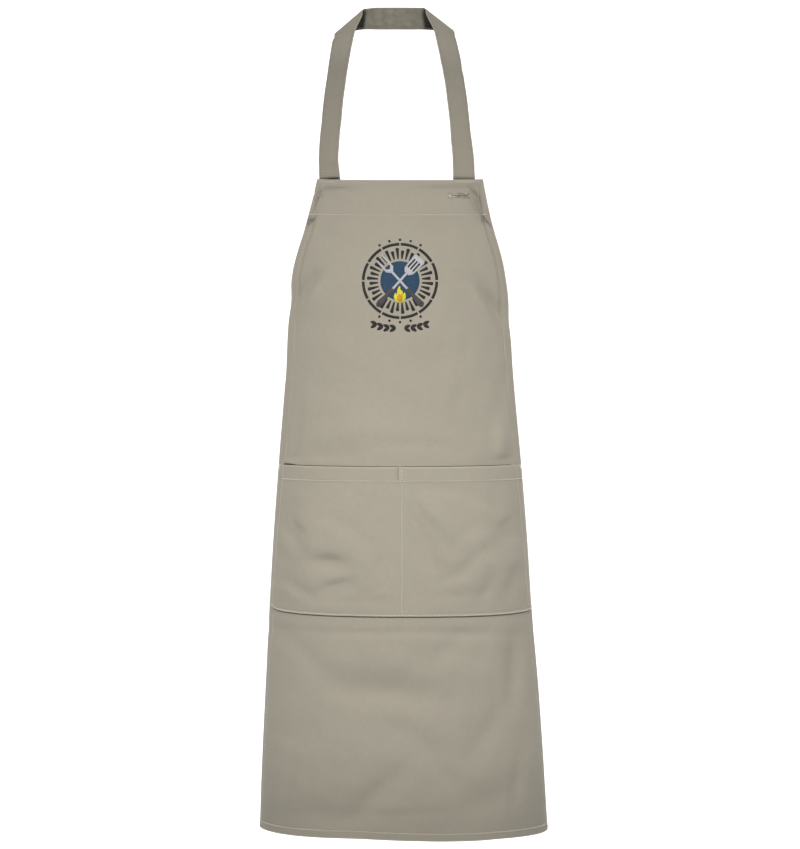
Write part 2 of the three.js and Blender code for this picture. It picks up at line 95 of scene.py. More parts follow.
# x, z, full length, full width, slope in degrees, depth (positive is a hollow)
PANEL_FOLDS = [
    (130, -390, 62, 20, -58, 2.6), (121, -402, 60, 18, -58, -1.4),
    (-115, -368, 62, 20, 56, 2.4), (-104, -380, 60, 18, 56, -1.2),
    (141, -572, 56, 20, 90, -1.6), (-6, -899, 140, 44, -6, 2.6),
    (-25, -1038, 100, 32, 46, 2.2), (-93, -1064, 96, 40, 12, 1.1),
    (115, -1050, 90, 42, 14, 1.3), (160, -870, 76, 24, 90, 2.4),
]
POCKET_FOLDS = [
    (-136, -688, 62, 20, -60, 2.1), (-84, -732, 40, 22, 0, 1.9), (-76, -767, 44, 20, 17, 1.8),
    (31, -703, 88, 26, -58, 2.7), (62, -678, 76, 22, -49, -1.6),
    (156, -692, 46, 26, 30, 2.2), (158, -763, 56, 26, 64, 1.1),
]
# The creases of the bib's top and of its armhole hems
BIB_CREASES = [
    (112.8, -258, 22, 3.4, -82, 0.55), (117.6, -284, 16, 3.6, -64, 0.75), (124.0, -293, 18, 3.6, -60, 0.6),
    (132.0, -311, 26, 3.6, -70, 0.5), (-108.5, -284, 10, 4.0, 58, 0.8), (-111, -289, 8, 3.6, 10, 0.5),
    (121, -288.5, 8, 3.6, -20, 0.5), (-104, -247, 14, 4.0, 24, 0.8), (-101, -255, 16, 4.6, 30, 0.6),
    (-86, -236.8, 30, 3.2, 2, 0.5), (90, -236.8, 30, 3.2, -2, 0.4),
]
# The deepest parts of small folds, which hold a shadow: the last value is how dark
DEEP_FOLDS = [
    (-112.5, -284.0, 13, 3.0, 75, 0.75), (-107.0, -283.0, 12, 3.0, 50, 0.75),
    (118.5, -279.5, 14, 2.6, -52, 0.55), (124.0, -286.5, 12, 2.6, -48, 0.50), (113.8, -258, 40, 2.4, -84, 0.30),
    (104, -244.5, 16, 3.4, -42, 0.30), (110.5, -251, 12, 3.2, -60, 0.26), (108, -266, 30, 9, -76, 0.16),
    (-98, -246, 14, 3.4, 35, 0.30), (-101, -254.5, 12, 3.2, 38, 0.32), (-104, -266, 16, 3.2, 66, 0.22),
    (-70, -240.5, 34, 3.6, -3, 0.18), (60, -240.5, 60, 4.0, 1, 0.14),
    (-101, -258, 20, 2.6, 72, 0.25), (-86, -241, 30, 7, -4, 0.16), (95, -237, 40, 5, 0, 0.12),
    (110, -256, 44, 16, -70, 0.14),
]
# The finer creases of the visible cloth
PANEL_CREASES = [
    (-80, -240.8, 36, 5.0, 0, 0.75), (-52, -241.2, 40, 6.0, -2, 0.45), (-80, -245.8, 40, 6.0, 1, -0.35),
    (-101, -245.5, 12, 4.0, 20, 0.55), (-100, -253.5, 14, 4.5, 28, 0.55),
    (66, -241.0, 68, 6.0, 0, 0.65), (66, -246.5, 60, 7.0, 0, -0.3),
    (85, -243.2, 18, 5.5, 0, 0.8), (103.5, -247.6, 14, 4.0, -42, 0.85),
    (103, -259.5, 26, 9.0, -62, 0.65),
    (-107.5, -283.5, 9, 4.0, 60, 0.6), (118.5, -284.5, 10, 4.0, -56, 0.7),
    (114.5, -266, 30, 4.5, -80, 0.35),
    (-88, -258, 44, 20, 30, 0.5), (20, -256, 90, 22, 6, 0.35),
    (60, -300, 110, 30, 12, 0.5), (-60, -318, 90, 30, -22, 0.55),
    (40, -470, 150, 44, 20, 0.7), (-60, -500, 150, 46, -14, 0.7), (90, -510, 90, 30, 62, 0.6),
    (-40, -560, 130, 34, 8, -0.6), (-128, -560, 60, 14, 82, 0.8), (30, -575, 110, 20, -4, 0.5),
    (150, -560, 70, 8, 88, -0.5), (-136, -596, 20, 8, 10, 1.1), (150, -598, 18, 7, -12, 0.8),
    (60, -850, 130, 30, 30, 0.8), (-110, -860, 110, 30, -40, 0.9), (120, -960, 120, 30, 58, 1.0),
    (-120, -960, 120, 28, 66, 0.8), (20, -960, 150, 40, -24, 0.8), (60, -1000, 110, 26, -52, 1.0),
    (0, -1062, 120, 16, 3, 0.7), (-140, -1030, 60, 18, 74, 0.8), (165, -1020, 80, 18, 84, 0.9),
    (-40, -822, 200, 12, 1, 0.5), (100, -826, 120, 12, -3, 0.5),
]
POCKET_CREASES = [
    (-120, -635, 60, 14, 4, 0.5), (40, -633, 120, 14, -2, 0.4), (-30, -660, 70, 22, 52, 0.8),
    (-40, -700, 90, 26, -38, 0.7), (-15, -738, 40, 16, -60, 0.9), (100, -730, 80, 22, 40, 0.9),
    (110, -650, 80, 22, -20, 0.6), (14, -770, 50, 14, 74, 0.7), (-120, -770, 60, 18, -30, 0.8),
    (60, -775, 90, 14, 2, 0.6), (-60, -782, 110, 10, 0, 0.5), (118, -775, 40, 16, 66, 0.7),
    (26, -660, 60, 14, -64, -0.5), (-100, -690, 60, 16, 60, -0.5),
    (-131, -664, 36, 13, 78, 0.9), (-122, -690, 26, 12, -40, 0.6), (-110, -668, 30, 16, 70, -0.4),
    (-84, -728, 32, 12, 4, 0.5), (-78, -763, 36, 11, 17, 0.6), (-72, -751, 40, 13, 17, -0.45),
    (-5, -729, 36, 12, -60, 0.7), (9, -722, 30, 10, -60, -0.4), (30, -660, 34, 11, -58, 0.7),
    (40, -716, 44, 15, -58, 0.6), (150, -681, 36, 14, 20, 0.7), (96, -690, 40, 18, 35, 0.45),
    (-48, -640, 44, 16, -12, 0.4), (-28, -768, 40, 12, 24, 0.5), (120, -718, 30, 13, -50, 0.5),
    (-128, -742, 34, 13, 60, 0.5), (66, -752, 46, 15, 14, 0.45),
]
POCKET_CURVE = np.array([(-1.00, 10.5), (-0.93, 7.0), (-0.84, 3.0), (-0.70, 1.2),
                         (0.00, 0.0), (0.80, 0.0), (0.92, 1.4), (1.00, 5.0)])

# lo, li, ri, ro, yo, yi, zo, zi
STRAP = [
    (-99.2, -73.2, 77.5, 105.6, -121, -132.5, -202.4, -203.4),
    (-97.9, -72.1, 75.6, 102.7, -113, -124.0, -175.4, -176.4),
    (-95.7, -69.8, 73.7, 99.8, -103, -113.5, -148.1, -149.1),
    (-93.3, -67.5, 70.9, 97.2, -91, -101.0, -120.4, -121.5),
    (-90.1, -64.3, 67.7, 93.5, -78, -87.0, -92.4, -93.5),
    (-86.7, -60.3, 62.8, 89.5, -62, -69.5, -63.9, -64.8),
    (-83.9, -56.8, 58.6, 85.3, -49, -55.0, -42.1, -42.9),
    (-82.9, -52.0, 53.4, 84.0, -41, -42.5, -35.0, -20.5),
]
FOOT = dict(lo=-101.0, li=-72.5, ri=79.6, ro=109.4, top=-231.0, end=-243.0)
SHOULDER = {-1: ((-79.8, -28, -24.0), (-42.0, -24, 8.5)), 1: ((80.8, -28, -20.6), (41.8, -24, 9.8))}
NAPE = [(27, -11.0, 13.2, 45, -7.0, -15.6), (14, -5.6, 14.0, 20, 0.0, -14.5), (0, -3.4, 14.4, 0, 1.8, -14.2)]
TIE = [(141.2, -106), (143.5, -78), (140.5, -40), (123.0, 2), (90.0, 33), (52.0, 46)]
TAIL = [(15.0, 0.0, 15.5), (17.0, 1.5, 60), (20.5, 2.0, 120), (22.0, 0.5, 180), (22.5, 0.0, 245)]


# --------------------------------------------------------------------- helpers
def ease(v):
    c = np.clip(v, 0, 1)
    return c * c * (3 - 2 * c)


def cubic(xs, ys, v):
    """A smooth cubic through rows with rising xs, flat outside them."""
    v = np.clip(v, xs[0], xs[-1])
    i = np.clip(np.searchsorted(xs, v, side="right") - 1, 0, len(xs) - 2)
    slope = np.diff(ys) / np.diff(xs)
    tan = np.concatenate([[slope[0]], (slope[:-1] + slope[1:]) / 2, [slope[-1]]])
    h = xs[i + 1] - xs[i]
    s = (v - xs[i]) / h
    s2, s3 = s * s, s * s * s
    return (ys[i] * (2 * s3 - 3 * s2 + 1) + ys[i + 1] * (3 * s2 - 2 * s3)
            + h * (tan[i] * (s3 - 2 * s2 + s) + tan[i + 1] * (s3 - s2)))


def unit(v):
    return v / np.maximum(np.linalg.norm(v, axis=-1, keepdims=True), 1e-12)


def fold_depth(table, x, z):
    out = np.zeros(np.broadcast(x, z).shape)
    for fx, fz, long, wide, slope, depth in table:
        c, s = math.cos(math.radians(slope)), math.sin(math.radians(slope))
        along = (x - fx) * c + (z - fz) * s
        across = -(x - fx) * s + (z - fz) * c
        out += depth * np.exp(-4 * ((along / long) ** 2 + (across / wide) ** 2))
    return out


def waves(seed, count, low, high):
    """Soft noise of two coordinates with wavelengths between low and high, about -1 to 1."""
    r = np.random.default_rng(seed)
    ang = r.uniform(0, math.pi, count)
    k = 2 * math.pi / np.exp(r.uniform(math.log(low), math.log(high), count))
    ph = r.uniform(0, 2 * math.pi, count)

    def f(x, z):
        out = np.zeros(np.broadcast(x, z).shape)
        for a, kk, p in zip(ang, k, ph):
            out += np.sin(kk * (x * math.cos(a) + z * math.sin(a)) + p)
        return out / math.sqrt(count) / 1.4
    return f


slow = waves(3, 14, 60, 150)
middle = waves(4, 18, 22, 48)
fine = waves(5, 22, 9, 18)


# ----------------------------------------------------------------- the surface
def pocket_edges(t):
    """Heights of the pocket's mouth and of its lower edge."""
    return POCKET_TOP + 0.3 * t * t, POCKET_BOTTOM + cubic(POCKET_CURVE[:, 0], POCKET_CURVE[:, 1], t)


def plain(t, z):
    t, z = np.broadcast_arrays(np.asarray(t, float), np.asarray(z, float))
    zs = LEVELS[:, 0]
    left, right, front, wrap, turn = (cubic(zs, LEVELS[:, k], z) for k in (1, 2, 3, 4, 5))
    turn = np.radians(turn)
    a = t * turn
    return np.stack([
        (left + right) / 2 + (right - left) / 2 * np.sin(a) / np.sin(turn),
        front + wrap * (1 - np.cos(a)) / (1 - np.cos(turn)), z], -1)


def outward(t, z):
    du = plain(t + 0.01, z) - plain(t - 0.01, z)
    dz = plain(t, z + 1) - plain(t, z - 1)
    return unit(np.cross(du, dz))


# lengths along the cloth, from the left edge, for any t and z
ARC_Z = np.linspace(-1100, -224, 220)
ARC_T = np.linspace(-1, 1, 401)
_p = plain(ARC_T[None, :], ARC_Z[:, None])
_d = np.linalg.norm(np.diff(_p, axis=1), axis=2)
ARC = np.concatenate([np.zeros((len(ARC_Z), 1)), np.cumsum(_d, axis=1)], axis=1)


def arc(t, z):
    fi = np.clip((z - ARC_Z[0]) / (ARC_Z[1] - ARC_Z[0]), 0, len(ARC_Z) - 1.0001)
    fj = np.clip((t + 1) / 2 * 400, 0, 399.9999)
    i, j = fi.astype(int), fj.astype(int)
    a, b = fi - i, fj - j
    return ((ARC[i, j] * (1 - b) + ARC[i, j + 1] * b) * (1 - a)
            + (ARC[i + 1, j] * (1 - b) + ARC[i + 1, j + 1] * b) * a)


def arc_t(s, z):
    """t at the length s along the cloth, one height z for each row of s."""
    out = np.empty_like(s)
    for k in range(s.shape[0]):
        f = np.clip((z[k] - ARC_Z[0]) / (ARC_Z[1] - ARC_Z[0]), 0, len(ARC_Z) - 1.0001)
        i = int(f)
        row = ARC[i] * (1 - (f - i)) + ARC[i + 1] * (f - i)
        out[k] = np.interp(s[k], row, ARC_T)
    return out


def hem_width(z):
    return np.interp(z, [-1096, -801, -605, -421, -230], [13.0, 14.0, 14.5, 13.0, 11.5])


def edge_distance(t, z):
    s = arc(t, z)
    return np.minimum(s, arc(np.ones_like(t), z) - s)


def groove(d, deep, wide):
    return deep * np.exp(-(d / wide) ** 2)


BOTTOM_HANG = np.array([(-176, 1.2), (-140, 1.0), (-97, 1.7), (-71, 2.2), (-45, 2.7), (-18, 2.1), (8, 1.2), (34, 0.5),
                        (60, -0.5), (86, -1.1), (112, -1.5), (139, -1.3), (160, -1.7), (186, -2.3), (200, -2.8)], float)


def bottom_edge(x):
    return BOTTOM + cubic(BOTTOM_HANG[:, 0], BOTTOM_HANG[:, 1], x)


def top_edge(t):
    return TOP_MID + (TOP_END - TOP_MID) * t * t


def relief(t, z, x):
    """Hollows (positive) of the visible panel, beyond the CAD shape's folds."""
    t, z, x = np.broadcast_arrays(t, z, x)
    e = edge_distance(t, z)
    h = hem_width(z)
    down = top_edge(t) - z
    up = z - bottom_edge(x)
    under = ease((z + 822) / 14) * (1 - ease((z + 602) / 12))       # below the pocket
    free = 1 - under
    out = 3.0 * fold_depth(PANEL_CREASES, x, z) * free + 1.6 * fold_depth(BIB_CREASES, x, z)
    out += (0.95 * slow(x, z) + 0.46 * middle(x, z * 0.8) + 0.06 * fine(x, z)) * free \
        * ease((e - 2) / 20) * ease((up - 4) / 20) * ease((down - 2) / 20)
    # the turned hems: a little thicker, and drawn in along the thread
    out -= 0.30 * (1 - ease((e - h + 1.2) / 2.4))
    out -= 0.22 * (1 - ease((down - BAND_DEEP + 0.7) / 2.6))
    out -= 0.30 * (1 - ease((up - 8.2) / 2.4))
    armhole = ease((z + 420) / 40) * ease((-236 - z) / 20)
    out += groove(e - h, 0.30, 0.9) + groove(down - BAND_DEEP, 0.30, 0.9) * ease((e - 1) / 3)
    out += armhole * np.where(t > 0, 0.48, 0.40) * (groove(e - h, 1.0, 1.5) + 0.6 * groove(e - 5.0, 1.0, 1.3))
    out += groove(up - 9.1, 0.30, 0.9) + groove(down - 2.2, 0.20, 0.9)
    # puckers beside the threads
    s = np.where(t < 0, z, z + 31)
    pucker = np.sin(s / 2.1 + 1.3 * np.sin(s / 13)) * (0.6 + 0.4 * np.sin(s / 29))
    out += 0.10 * pucker * np.exp(-((e - h + 4) / 6) ** 2) * free
    a = x / 2.3 + 1.1 * np.sin(x / 15)
    out += 0.09 * np.sin(a) * np.exp(-((down - BAND_DEEP - 2) / 6) ** 2)
    out += 0.12 * np.sin(a + 1.7) * np.exp(-((up - 6) / 6) ** 2)
    return out


def surface(t, z, dist=0.0, visible=True):
    """A point at a distance in front of the panel's front face."""
    p = plain(t, z)
    n = outward(t, z)
    quiet = ease((-330 - p[..., 2]) / 30) \
        * (1 - ease((p[..., 2] + 820) / 12) * (1 - ease((p[..., 2] + 600) / 12)))
    d = dist - fold_depth(PANEL_FOLDS, p[..., 0], p[..., 2]) * quiet * (3.4 if visible else 1.0)
    if visible:
        d = d - relief(t, z, p[..., 0])
    return p + n * np.asarray(d)[..., None]


def t_for(x, z):
    x, z = np.broadcast_arrays(np.asarray(x, float), np.asarray(z, float))
    lo, hi = np.full(x.shape, -1.3), np.full(x.shape, 1.3)
    for _ in range(36):
        mid = (lo + hi) / 2
        left = plain(mid, z)[..., 0] < x
        lo, hi = np.where(left, mid, lo), np.where(left, hi, mid)
    return (lo + hi) / 2


# ---------------------------------------------------------------------- meshes
def mesh(name, co, faces, uv=None, attrs=None, flat=False):
    me = bpy.data.meshes.new(name)
    me.from_pydata((np.asarray(co) * 0.001).tolist(), [], [list(map(int, f)) for f in faces])
    me.update()
    loops = np.empty(len(me.loops), np.int32)
    me.loops.foreach_get("vertex_index", loops)
    if uv is not None:
        layer = me.uv_layers.new(name="cloth")
        layer.data.foreach_set("uv", np.asarray(uv, np.float32)[loops].ravel())
    for key, values in (attrs or {}).items():
        a = me.attributes.new(key, "FLOAT", "POINT")
        a.data.foreach_set("value", np.asarray(values, np.float32).ravel())
    me.polygons.foreach_set("use_smooth", np.full(len(me.polygons), not flat))
    ob = bpy.data.objects.new(name, me)
    bpy.context.scene.collection.objects.link(ob)
    return ob


def outward_faces(co, faces):
    """The faces, turned over if the closed shape is inside out."""
    v = 0.0
    for f in (faces if isinstance(faces, list) else [faces]):
        a, b = co[f[:, 0]], co[f[:, 1]]
        for k in range(2, f.shape[1]):
            c = co[f[:, k]]
            v += np.einsum("ij,ij->i", a, np.cross(b, c)).sum()
            b = c
    return v > 0


def wall(name, front, back, uv=None, attrs=None, hole=None, round_by=0.32):
    """A closed cloth wall from two grids of points, with rounded edges and maybe a slit.

    hole is (row, first column, last column): the cells of that row are left open."""
    R, C = front.shape[:2]
    F = np.arange(R * C).reshape(R, C)
    B = F + R * C
    keep = np.ones((R - 1, C - 1), bool)
    if hole:
        keep[hole[0], hole[1]:hole[2]] = False
    q = np.stack([F[:-1, :-1], F[1:, :-1], F[1:, 1:], F[:-1, 1:]], -1)[keep]
    qb = np.stack([B[:-1, :-1], B[:-1, 1:], B[1:, 1:], B[1:, :-1]], -1)[keep]
    ring = np.concatenate([F[0, :-1], F[:-1, -1], F[-1, :0:-1], F[:0:-1, 0]])
    ij = np.stack(np.unravel_index(ring, (R, C)), -1)
    inner = np.stack([np.clip(ij[:, 0], 1, R - 2), np.clip(ij[:, 1], 1, C - 2)], -1)
    pf, pb = front[ij[:, 0], ij[:, 1]], back[ij[:, 0], ij[:, 1]]
    thick = np.linalg.norm(pf - pb, axis=1, keepdims=True)
    out = unit((pf + pb) - front[inner[:, 0], inner[:, 1]] - back[inner[:, 0], inner[:, 1]])
    mid = (pf + pb) / 2 + out * thick * round_by
    M = 2 * R * C + np.arange(len(ring))
    rb = ring + R * C
    nx = np.roll(np.arange(len(ring)), -1)
    sides = [np.stack([ring, ring[nx], M[nx], M], -1), np.stack([M, M[nx], rb[nx], rb], -1)]
    faces = [q, qb] + sides
    if hole:
        r, c0, c1 = hole
        loop = np.concatenate([F[r, c0:c1], [F[r, c1]], F[r + 1, c1:c0:-1], [F[r + 1, c0]]])
        ln = np.roll(loop, -1)
        faces.append(np.stack([loop + R * C, ln + R * C, ln, loop], -1)[:, ::-1])
    faces = np.concatenate(faces)
    co = np.concatenate([front.reshape(-1, 3), back.reshape(-1, 3), mid])
    # check the sides against the front faces: an edge is walked once each way
    if hole:
        a = {(int(f[k]), int(f[(k + 1) % 4])) for f in q for k in range(4)}
        h = faces[-len(loop):]
        if any((int(f[k]), int(f[(k + 1) % 4])) in a for f in h for k in range(4)):
            faces[-len(loop):] = h[:, ::-1]
    s0 = (int(sides[0][0][0]), int(sides[0][0][1]))
    if any((int(f[k]), int(f[(k + 1) % 4])) == s0 for f in q[:C * 2] for k in range(4)):
        lo, hi = len(q) + len(qb), len(q) + len(qb) + 2 * len(ring)
        faces[lo:hi] = faces[lo:hi][:, ::-1]
    if not outward_faces(co, faces):
        faces = faces[:, ::-1]
    if uv is not None:
        flat = uv.reshape(-1, 2)
        uv = np.concatenate([flat, flat, flat[ring]])
    if attrs:
        attrs.setdefault("under", (np.full(front.shape[:2], -20.0),) * 2)
        attrs = {k: np.concatenate([v[0].ravel(), v[1].ravel(),
                                    (v[0].ravel()[ring] + v[1].ravel()[ring]) / 2])
                 for k, v in attrs.items()}
    return mesh(name, co, faces, uv, attrs)


def catmull(P, u):
    """The centripetal curve through the points P, as the CAD ribbon uses it."""
    P = np.asarray(P, float)
    n = len(P)
    p = (n - 1) * np.asarray(u, float)
    i = np.clip(np.floor(p).astype(int), 0, n - 2)
    w = (p - i)[:, None]
    ext = np.concatenate([[2 * P[0] - P[1]], P, [2 * P[-1] - P[-2]]])
    a, b, c, d = ext[i], ext[i + 1], ext[i + 2], ext[i + 3]
    dt0, dt1, dt2 = (np.maximum((((x - y) ** 2).sum(1)) ** 0.25, 1e-4)[:, None]
                     for x, y in ((a, b), (b, c), (c, d)))
    t1 = ((b - a) / dt0 - (c - a) / (dt0 + dt1) + (c - b) / dt1) * dt1
    t2 = ((c - b) / dt1 - (d - b) / (dt1 + dt2) + (d - c) / dt2) * dt1
    return (b + t1 * w + (-3 * b + 3 * c - 2 * t1 - t2) * w ** 2
            + (2 * b - 2 * c + t1 + t2) * w ** 3)


class Ribbon:
    """A flat strap: two edge curves, and points and normals between them."""

    def __init__(self, a, b, step):
        spans = len(a) - 1
        us = np.linspace(0, 1, 4001)
        mid = (catmull(a, us) + catmull(b, us)) / 2
        s = np.concatenate([[0], np.cumsum(np.linalg.norm(np.diff(mid, axis=0), axis=1))])
        self.length = s[-1]
        n = max(6, int(round(self.length / step)))
        self.s = np.linspace(0, self.length, n + 1)
        self.u = np.interp(self.s, s, us)
        self.a, self.b = catmull(a, self.u), catmull(b, self.u)
        e = 0.25 / spans
        hi, lo = np.minimum(1, self.u + e), np.maximum(0, self.u - e)
        along = catmull(a, hi) + catmull(b, hi) - catmull(a, lo) - catmull(b, lo)
        self.n = unit(np.cross(self.b - self.a, along))
        self.along = unit(along)
        self.wide = np.linalg.norm(self.b - self.a, axis=1)

    def at(self, s, w, d):
        """Points at length s, part w of the width from edge a, d out along the normal."""
        s = np.asarray(s, float)
        pick = lambda arr: np.stack([np.interp(s, self.s, arr[:, k]) for k in range(3)], -1)
        a, b, n = pick(self.a), pick(self.b), unit(pick(self.n))
        w = np.asarray(w)[..., None]
        return a * (1 - w) + b * w + n * np.asarray(d)[..., None], n, unit(pick(self.along)), unit(b - a)


def ribbon_mesh(name, rb, thick, seams=(2.2,), detail=None, dark=None):
    """The ribbon's cloth: two layers, drawn in along its topstitches."""
    W = float(np.median(rb.wide))
    lanes = [0, 0.35, 1.0]
    for m in seams:
        lanes += [m - 0.7, m, m + 0.7]
    inner = np.linspace(seams[-1] + 2.2, W - seams[-1] - 2.2, 9)
    lanes = np.array(sorted(set(np.round(lanes + list(inner) + [W - v for v in lanes], 4))))
    w = lanes / W
    S, Wg = np.meshgrid(rb.s, w, indexing="ij")
    dist = np.minimum(Wg, 1 - Wg) * W
    half = thick / 2 * (1 - 0.30 * np.exp(-(dist / 0.5) ** 2))
    for m in seams:
        half = half - groove(dist - m, 0.20, 0.8)
    half = half - 0.06 * (1 + np.sin(S / 2.2 + 1.2 * np.sin(S / 17) + Wg * 3)) * np.exp(-((dist - 3) / 3.2) ** 2)
    lift = (detail(S, Wg, W) if detail else 0) + 0.10 * fine(S * 1.4, Wg * 40) * ease(dist / 6)
    a, b, n = rb.a[:, None], rb.b[:, None], rb.n[:, None]
    mid = a * (1 - Wg[..., None]) + b * Wg[..., None] + n * np.asarray(lift)[..., None]
    front, back = mid + n * half[..., None], mid - n * half[..., None]
    uv = np.stack([Wg * W, S], -1) * 0.001
    seam = np.min([np.abs(dist - m) for m in seams], axis=0)
    dk = dark(S, Wg) if dark else (np.zeros_like(S), np.zeros_like(S))
    return wall(name, front, back, uv, {"edge": (dist, dist), "seam": (seam, seam), "shade": dk})


# -------------------------------------------------------------------- stitches
def stitch_shape():
    """One thread pass: a small spindle along x, 6-sided, ends dipping into the cloth."""
    rings = [(-0.5, 0.0, -0.30), (-0.40, 0.75, -0.06), (0.0, 1.0, 0.10), (0.40, 0.75, -0.06), (0.5, 0.0, -0.30)]
    co, faces = [], []
    for k, (x, r, up) in enumerate(rings):
        if r == 0:
            co.append((x, 0, up, 0))
        else:
            for j in range(6):
                g = 2 * math.pi * j / 6
                co.append((x, math.cos(g) * r, up, math.sin(g) * r))
    one = lambda j: 1 + j % 6
    two = lambda j: 7 + j % 6
    three = lambda j: 13 + j % 6
    for j in range(6):
        faces.append((0, one(j + 1), one(j), one(j)))
        faces.append((one(j), one(j + 1), two(j + 1), two(j)))
        faces.append((two(j), two(j + 1), three(j + 1), three(j)))
        faces.append((three(j), three(j + 1), 19, 19))
    return np.array(co, float), faces


STITCH_CO, STITCH_FACES = stitch_shape()


def stitches(name, runs, material):
    """Thread passes. Each run is (points, normals): the passes lie between every two points."""
    cos, faces, base = [], [], 0
    for centre, along, normal, length, radius in runs:
        side = unit(np.cross(normal, along))
        up = unit(np.cross(along, side))
        c = STITCH_CO
        L, Rr = length[:, None, None], radius[:, None, None]
        p = (centre[:, None] + along[:, None] * (c[None, :, :1] * L)
             + side[:, None] * (c[None, :, 1:2] * Rr)
             + up[:, None] * (c[None, :, 2:3] * 0.9 + c[None, :, 3:4] * Rr))
        cos.append(p.reshape(-1, 3))
        n = len(centre)
        tri = np.array([(f[0], f[1], f[2]) for f in STITCH_FACES if f[2] == f[3]])
        quad = np.array([f for f in STITCH_FACES if f[2] != f[3]])
        step = (np.arange(n) * len(c) + base)[:, None, None]
        faces += (tri[None] + step).reshape(-1, 3).tolist()
        faces += (quad[None] + step).reshape(-1, 4).tolist()
        base += n * len(c)
    co = np.concatenate(cos)
    ob = mesh(name, co, faces)
    ob.data.materials.append(material)
    return ob


def run_along(points, normals, pitch=PITCH, length=1.95, radius=0.50, lift=0.16, start=0.4, wobble=0.10):
    """Passes of thread along a dense line of points on the cloth."""
    s = np.concatenate([[0], np.cumsum(np.linalg.norm(np.diff(points, axis=0), axis=1))])
    at = np.arange(start + pitch / 2, s[-1] - pitch / 2, pitch)
    if len(at) == 0:
        at = np.array([s[-1] / 2])
    pick = lambda arr, v: np.stack([np.interp(v, s, arr[:, k]) for k in range(3)], -1)
    along = unit(pick(points, at + length / 2) - pick(points, at - length / 2))
    n = unit(pick(normals, at))
    c = pick(points, at) + n * lift
    side = unit(np.cross(n, along))
    c = c + side * rng.normal(0, wobble, (len(at), 1))
    along = unit(along + side * rng.normal(0, 0.05, (len(at), 1)))
    return c, along, n, np.full(len(at), length), radius * rng.uniform(0.9, 1.1, len(at))


def hole_shade_of(run, radius=0.47):
    """Small dark pieces of painted shade in the needle holes, half a pitch from each pass."""
    c, along, n, _, _ = run
    pitch = float(np.median(np.linalg.norm(np.diff(c, axis=0), axis=1))) if len(c) > 1 else PITCH
    return c + along * (pitch / 2) + n * 0.02, along, n, np.full(len(c), pitch * 0.34), np.full(len(c), radius)


def line_on(t, z, dist=0.0):
    """Points and normals of a line on the visible panel."""
    return surface(t, z, dist), outward(t, z)


# ------------------------------------------------------------------- materials
class Nodes:
    """Short names for building a material's nodes."""

    def __init__(self, name):
        self.mat = bpy.data.materials.new(name)
        self.mat.use_nodes = True
        self.tree = self.mat.node_tree
        self.bsdf = self.tree.nodes["Principled BSDF"]

    def new(self, kind, **values):
        n = self.tree.nodes.new(kind)
        for k, v in values.items():
            setattr(n, k, v)
        return n

    def link(self, a, b):
        self.tree.links.new(a, b)

    def math(self, op, a, b=0.0, c=None, clamp=False):
        n = self.new("ShaderNodeMath", operation=op, use_clamp=clamp)
        for k, v in enumerate((a, b) if c is None else (a, b, c)):
            if isinstance(v, (int, float)):
                n.inputs[k].default_value = v
            else:
                self.link(v, n.inputs[k])
        return n.outputs[0]

    def span(self, value, a, b, lo=0.0, hi=1.0):
        n = self.new("ShaderNodeMapRange", interpolation_type="SMOOTHSTEP")
        self.link(value, n.inputs["Value"])
        for key, v in (("From Min", a), ("From Max", b), ("To Min", lo), ("To Max", hi)):
            n.inputs[key].default_value = v
        return n.outputs["Result"]

    def attr(self, name):
        return self.new("ShaderNodeAttribute", attribute_name=name).outputs["Fac"]

    def coords(self, kind, scale):
        tc = self.new("ShaderNodeTexCoord")
        mp = self.new("ShaderNodeMapping")
        mp.inputs["Scale"].default_value = scale
        self.link(tc.outputs[kind], mp.inputs["Vector"])
        return mp.outputs["Vector"]

    def noise(self, vector, detail=2.0, rough=0.5):
        n = self.new("ShaderNodeTexNoise", noise_dimensions="3D")
        n.inputs["Scale"].default_value = 1.0
        n.inputs["Detail"].default_value = detail
        n.inputs["Roughness"].default_value = rough
        self.link(vector, n.inputs["Vector"])
        return n.outputs["Fac"]

    def mix(self, fac, a, b):
        n = self.new("ShaderNodeMix", data_type="RGBA")
        if isinstance(fac, (int, float)):
            n.inputs[0].default_value = fac
        else:
            self.link(fac, n.inputs[0])
        for k, v in ((6, a), (7, b)):
            if isinstance(v, tuple):
                n.inputs[k].default_value = (*v, 1.0)
            else:
                self.link(v, n.inputs[k])
        return n.outputs[2]

    def surface(self, rough, sheen=0.0, sheen_rough=0.5, specular=0.3):
        self.bsdf.inputs["Roughness"].default_value = rough
        self.bsdf.inputs["Sheen Weight"].default_value = sheen
        self.bsdf.inputs["Sheen Roughness"].default_value = sheen_rough
        self.bsdf.inputs["Specular IOR Level"].default_value = specular

    def bump(self, height_mm, strength=1.0):
        n = self.new("ShaderNodeBump")
        n.inputs["Strength"].default_value = strength
        n.inputs["Distance"].default_value = 0.001
        self.link(height_mm, n.inputs["Height"])
        self.link(n.outputs["Normal"], self.bsdf.inputs["Normal"])


def tone(colour, k):
    return tuple(c * k for c in colour)


